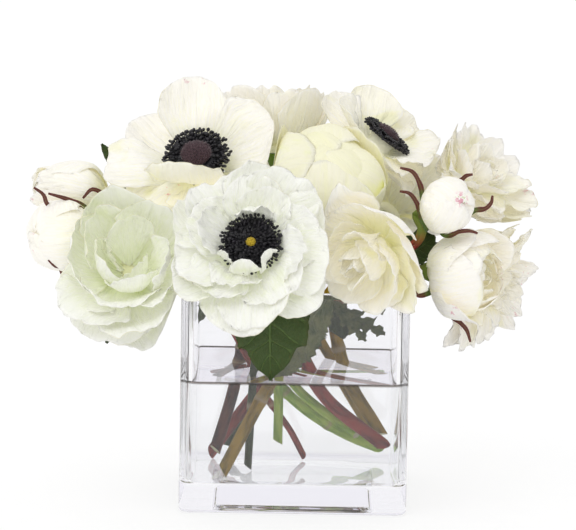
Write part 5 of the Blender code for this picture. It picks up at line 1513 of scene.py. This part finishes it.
class StageSettings(bpy.types.PropertyGroup):
    azimuth: bpy.props.FloatProperty(
        name="Azimuth", description="Camera's turn round the vase from the front",
        default=0.0, unit="ROTATION")
    elevation: bpy.props.FloatProperty(
        name="Elevation", description="Camera's height as an angle",
        default=math.radians(8.6), unit="ROTATION")
    roll: bpy.props.FloatProperty(
        name="Roll", description="Camera's roll, as the photograph was held",
        default=math.radians(1.0), unit="ROTATION")
    distance: bpy.props.FloatProperty(
        name="Distance", description="From the camera to what it looks at",
        default=2.2635, unit="LENGTH")
    lens: bpy.props.FloatProperty(
        name="Lens", description="Focal length",
        default=249.0, unit="CAMERA")
    aim: bpy.props.FloatVectorProperty(
        name="Aim", description="The point that the camera looks at",
        default=(-0.0047, 0.0, 0.1312), unit="LENGTH")
    ambient: bpy.props.FloatProperty(
        name="Soft light", description="Brightness of the light from all round",
        default=0.80)
    key: bpy.props.FloatProperty(
        name="Key light", description="Strength of the soft key light",
        default=0.70)


# Operators, one to a group of like pieces.

class MakeVase(bpy.types.Operator):
    """Makes the glass vase of rounded squares, from the underside up the outside and down the inside"""

    bl_idname = "bouquet.vase"
    bl_label = "Glass vase"

    def execute(self, context):
        values = context.scene.bouquet_vase
        half = VASE_WIDTH / 2
        rings = []
        for share in (0.05, 0.3, 0.6, 0.68, 0.69, 0.70, 0.71, 0.72, 0.73, 0.74, 0.75, 0.80, 0.92):
            edge = min(max((share - 0.69) / 0.05, 0), 1)
            height = values.hollow * (1 + math.cos(math.pi * edge)) / 2
            rings.append(rounded_square((half - FOOT_ROUND) * share, OUTER_CORNER, height))
        for turn in np.radians(np.linspace(0, 90, 10)):
            inset = FOOT_ROUND * (1 - math.sin(turn))
            height = FOOT_ROUND * (1 - math.cos(turn))
            rings.append(rounded_square(half - inset, OUTER_CORNER - 0.6 * inset, height))
        for height in (FOOT_ROUND + FLAT_MARGIN, VASE_HEIGHT - RIM_ROUND - FLAT_MARGIN):
            rings.append(rounded_square(half, OUTER_CORNER, height))
        for turn in np.radians(np.linspace(0, 180, 15)):
            inset = RIM_ROUND * (1 - math.cos(turn))
            height = VASE_HEIGHT - RIM_ROUND * (1 - math.sin(turn))
            rings.append(rounded_square(half - inset, OUTER_CORNER - 0.5 * inset, height))
        rings += hollow_rings(0.0, VASE_HEIGHT - 2.2 * RIM_ROUND, values.dome)[::-1]
        piece = Piece()
        add_stack(piece, rings)
        piece.made("vase_glass_body", glass_finish(), "glass", "glass_vase")
        return {"FINISHED"}


class MakeWater(bpy.types.Operator):
    """Makes the water: it fills the hollow and a little of the glass, and climbs at the walls"""

    bl_idname = "bouquet.water"
    bl_label = "Water"

    def execute(self, context):
        values = context.scene.bouquet_vase
        half = INNER_HALF + WATER_OVERLAP
        level = values.water_level - values.meniscus
        rings = hollow_rings(WATER_OVERLAP, values.water_level, values.dome)
        walls = len(rings)
        for inset in (0.0004, 0.0009, 0.0015, 0.0023, 0.0033, 0.0046, 0.0065, 0.010, 0.02, 0.035, 0.05):
            height = level + values.meniscus * math.exp(-inset / MENISCUS_REACH)
            rings.append(rounded_square(half - inset, INNER_CORNER - 0.5 * min(inset, INNER_CORNER), height))
        rings = np.array(rings)
        tone = np.zeros_like(rings)
        # The meniscus rings carry the painted dark line.
        tone[walls - 2:walls + 3, :, 0] = 1
        # The surface's rings carry the painted lavender-grey.
        tone[walls:, :, 1] = 1
        piece = Piece()
        add_stack(piece, rings, np.zeros_like(rings), tone)
        piece.made("water_body", water_finish(), "water", "water", sharp=40)
        return {"FINISHED"}


class MakeStems(bpy.types.Operator):
    """Makes the stems, their branches and calyxes, and the leaves and sepals on them"""

    bl_idname = "bouquet.stems"
    bl_label = "Stems and leaves"

    def execute(self, context):
        values = context.scene.bouquet_stems
        skins = {
            "brown": stem_finish("stem brown", tint(116, 60, 46), tint(60, 34, 36), tint(146, 92, 64)),
            "red": stem_finish("stem red", tint(178, 72, 62), tint(118, 42, 46), tint(178, 112, 72)),
            "olive": stem_finish("stem olive", tint(190, 152, 52), tint(128, 104, 32), tint(188, 164, 78)),
            "green": stem_finish("stem green", tint(196, 222, 104), tint(140, 182, 64), tint(196, 216, 122)),
            "dark": stem_finish("stem dark green", tint(62, 78, 32), tint(46, 58, 26), tint(98, 112, 52)),
        }
        upper, under = tuple(values.leaf_upper), tuple(values.leaf_under)
        leaves = leaf_finish("leaf dark green", upper, under, tint(108, 132, 70), tint(70, 78, 36))
        sepals = sepal_finish()
        for number, (one, route) in enumerate(zip(STEMS, stem_routes())):
            detail = np.random.default_rng(STEM_SEED + number)
            bark, foliage, calyx = Piece(), Piece(), Piece()
            end, end_radii = calyx_path(FLOWERS[one["blooms"][0]], one["radius"], one["calyx"])
            path = np.concatenate((route[:-1], end))
            radii = np.concatenate((np.full(len(path) - len(end), one["radius"]), end_radii))
            knuckles = detail.uniform(0.15, 0.75, 2)
            fine = add_bar(bark, path, radii, STEM_RINGS, knuckles, values.slant, detail, 0.86)
            if one["branch"]:
                other = FLOWERS[one["blooms"][1]]
                thin = one["radius"] * BRANCH_THINNER
                end, end_radii = calyx_path(other, thin, one["calyx"])
                fork = along_path(fine, one["branch"][0])
                before = end[0] - 0.6 * STRAIGHT_NECK * other["facing"]
                side = smooth_route((fork, *one["branch"][1:], before, end[0]), 12)
                side_radii = np.concatenate((np.full(11, thin), end_radii))
                side = np.concatenate((side[:-1], end))
                add_bar(bark, side, side_radii, BRANCH_RINGS, (), 0.0, detail, 0.5)
            for shape in one["leaves"]:
                add_leaf(foliage, shape, along_path(fine, shape["share"]), detail)
            for points in one["curls"]:
                add_curl(calyx, points, detail)
            slot = "foliage_dark" if one["colour"] == "dark" else "stem_" + one["colour"]
            bark.made(one["name"] + "_bark", skins[one["colour"]], slot, one["name"])
            if foliage.count:
                foliage.made(one["name"] + "_leaves", leaves, "foliage_dark", one["name"])
            if calyx.count:
                calyx.made(one["name"] + "_sepals", sepals, "foliage_dark", one["name"])
        return {"FINISHED"}


def petal_colours(context):
    """The finish of each petal colour, made once."""
    values = context.scene.bouquet_petals
    made = {}
    for colour in ("cream", "mint", "lemon"):
        name = "petal " + colour
        tones = [tuple(getattr(values, colour + part)) for part in ("", "_deep", "_root")]
        flecks = values.flecks if colour == "cream" else 0.0
        made[colour] = bpy.data.materials.get(name) or petal_finish(name, *tones, flecks)
    return made


def make_blooms(context, *kinds):
    """Makes every bloom of these kinds."""
    finishes = petal_colours(context)
    for flower in BLOOMS:
        if flower["kind"] in kinds:
            make_bloom(flower, finishes[flower["colour"]])


class MakeAnemones(bpy.types.Operator):
    """Makes the anemones: petals, rings of black stamens, and plum buttons or a yellow eye"""

    bl_idname = "bouquet.anemones"
    bl_label = "Anemones"

    def execute(self, context):
        make_blooms(context, "broad anemone", "anemone", "side anemone", "frilled anemone")
        stamen = stamen_finish()
        buttons = {
            "plum": button_finish("button plum", tint(36, 25, 29), tint(96, 72, 78)),
            "yellow": button_finish("eye yellow", tint(150, 120, 20), tint(205, 180, 50)),
        }
        for name in DISCS:
            make_disc(FLOWERS[name], stamen, buttons)
        return {"FINISHED"}


class MakePeonies(bpy.types.Operator):
    """Makes the peony at the left, the one at the back and the frilled cream bloom at the top"""

    bl_idname = "bouquet.peonies"
    bl_label = "Peonies"

    def execute(self, context):
        make_blooms(context, "peony", "small peony")
        return {"FINISHED"}


class MakeRanunculus(bpy.types.Operator):
    """Makes the lemon globe of wrapped petals at the top"""

    bl_idname = "bouquet.ranunculus"
    bl_label = "Ranunculus"

    def execute(self, context):
        make_blooms(context, "globe")
        return {"FINISHED"}


class MakeRoses(bpy.types.Operator):
    """Makes the open and the closed roses"""

    bl_idname = "bouquet.roses"
    bl_label = "Roses"

    def execute(self, context):
        make_blooms(context, "open rose", "loose rose", "closed rose")
        return {"FINISHED"}


class MakeBuds(bpy.types.Operator):
    """Makes the buds"""

    bl_idname = "bouquet.buds"
    bl_label = "Buds"

    def execute(self, context):
        make_blooms(context, "bud", "long bud")
        return {"FINISHED"}


class MakeDahlias(bpy.types.Operator):
    """Makes the dahlias with their pointed petals"""

    bl_idname = "bouquet.dahlias"
    bl_label = "Dahlias"

    def execute(self, context):
        make_blooms(context, "dahlia")
        return {"FINISHED"}


# The stage: a disc for a floor, a bright backdrop with dark flags, a broad key light and the camera.
FLOOR_SIDES = 96
FLOOR_RADIUS = 12.0
BACKDROP = 1.02
FLAG_DARKNESS = 0.94
KEY_SPREAD = 55
KEY_FROM = (-0.45, -0.75, 0.95)
SENSOR_WIDTH = 36
FARTHEST_SEEN = 30


class MakeStage(bpy.types.Operator):
    """Sets up the pale floor, the soft light from all round, the key light and the camera"""

    bl_idname = "bouquet.stage"
    bl_label = "Stage"

    def execute(self, context):
        values = context.scene.bouquet_stage
        self.make_floor()
        self.make_light(context.scene, values)
        camera = bpy.data.objects.new("camera", bpy.data.cameras.new("camera"))
        context.scene.collection.objects.link(camera)
        turn, rise = values.azimuth, values.elevation
        level = math.cos(rise)
        direction = Vector((math.sin(turn) * level, -math.cos(turn) * level, math.sin(rise)))
        camera.location = Vector(values.aim) + values.distance * direction
        facing = (-direction).to_track_quat("-Z", "Y")
        camera.rotation_euler = (facing @ Quaternion((0, 0, 1), values.roll)).to_euler()
        camera.data.lens = values.lens
        camera.data.sensor_width = SENSOR_WIDTH
        camera.data.clip_end = FARTHEST_SEEN
        context.scene.camera = camera
        context.scene.view_settings.view_transform = "Standard"
        return {"FINISHED"}

    def make_floor(self):
        """A wide disc of pale board, which gives back light evenly."""
        points = turned(((FLOOR_RADIUS, 0.0),), FLOOR_SIDES)[0]
        mesh = bpy.data.meshes.new("floor")
        mesh.from_pydata(points.tolist(), [], [list(range(FLOOR_SIDES))])
        board = new_board("floor pale")
        grain = board.noise(board.place(), 40, 3.0)
        colour = board.mixed(grain, (0.19, 0.19, 0.19), (0.22, 0.22, 0.22))
        more = {"Emission Color": (1, 1, 1), "Emission Strength": 0.80, "Specular IOR Level": 0.2}
        mesh.materials.append(board.finish(colour, grain * 0.1 + 0.8, None, more))
        floor = bpy.data.objects.new("floor", mesh)
        bpy.context.scene.collection.objects.link(floor)

    def make_light(self, scene, values):
        """Soft even light, and dark flags in front and beside for what is seen in or through the glass."""
        world = bpy.data.worlds.new("soft light")
        board = Board(world)
        background = board.tree.nodes["Background"]
        x, y, z = board.split(board.add("ShaderNodeTexCoord", out=0))
        side = x.math("ABSOLUTE").rising(0.70, 0.93) * z.math("ABSOLUTE").falling(0.3, 0.8)
        front = (y * -1).rising(0.05, 0.6)
        dark = (side + front).bounded()
        seen = board.add("ShaderNodeLightPath", out="Is Camera Ray")
        scattered = board.add("ShaderNodeLightPath", out="Diffuse Depth").bounded()
        soft = values.ambient * (0.96 + 0.10 * z)
        studio = BACKDROP * (1 - dark * FLAG_DARKNESS)
        strength = seen * BACKDROP + (1 - seen) * (scattered * soft + (1 - scattered) * studio)
        colour = board.mixed(dark * (1 - scattered), (1.0, 1.0, 1.0), (0.92, 0.90, 1.0))
        board.feed(background.inputs["Color"], colour)
        board.feed(background.inputs["Strength"], strength)
        scene.world = world
        scene.cycles.diffuse_bounces = 10
        scene.cycles.glossy_bounces = 20
        scene.cycles.transmission_bounces = 20
        scene.cycles.max_bounces = 28
        key = bpy.data.objects.new("key light", bpy.data.lights.new("key light", "SUN"))
        key.data.energy = values.key
        key.data.angle = math.radians(KEY_SPREAD)
        key.rotation_euler = Vector(KEY_FROM).to_track_quat("Z", "Y").to_euler()
        scene.collection.objects.link(key)


MAKERS = (MakeVase, MakeWater, MakeStems, MakeAnemones, MakePeonies, MakeRanunculus, MakeRoses, MakeBuds,
          MakeDahlias, MakeStage)
SETTINGS = {
    "bouquet_vase": VaseSettings,
    "bouquet_petals": PetalSettings,
    "bouquet_stems": StemSettings,
    "bouquet_stage": StageSettings,
}


class BouquetPanel(bpy.types.Panel):
    """Lists the operators and the values that they read"""

    bl_idname = "VIEW3D_PT_bouquet"
    bl_label = "Bouquet"
    bl_space_type = "VIEW_3D"
    bl_region_type = "UI"
    bl_category = "Bouquet"

    def draw(self, context):
        for label, group in SETTINGS.items():
            box = self.layout.box()
            for key in group.__annotations__:
                box.prop(getattr(context.scene, label), key)
        for maker in MAKERS:
            self.layout.operator(maker.bl_idname)


def register():
    for group in (*SETTINGS.values(), *MAKERS, BouquetPanel):
        bpy.utils.register_class(group)
    for label, group in SETTINGS.items():
        setattr(bpy.types.Scene, label, bpy.props.PointerProperty(type=group))


def unregister():
    for label in SETTINGS:
        delattr(bpy.types.Scene, label)
    for group in (BouquetPanel, *MAKERS[::-1], *SETTINGS.values()):
        bpy.utils.unregister_class(group)


def main():
    register()
    for maker in MAKERS:
        group, call = maker.bl_idname.split(".")
        getattr(getattr(bpy.ops, group), call)()


if __name__ == "__main__":
    main()
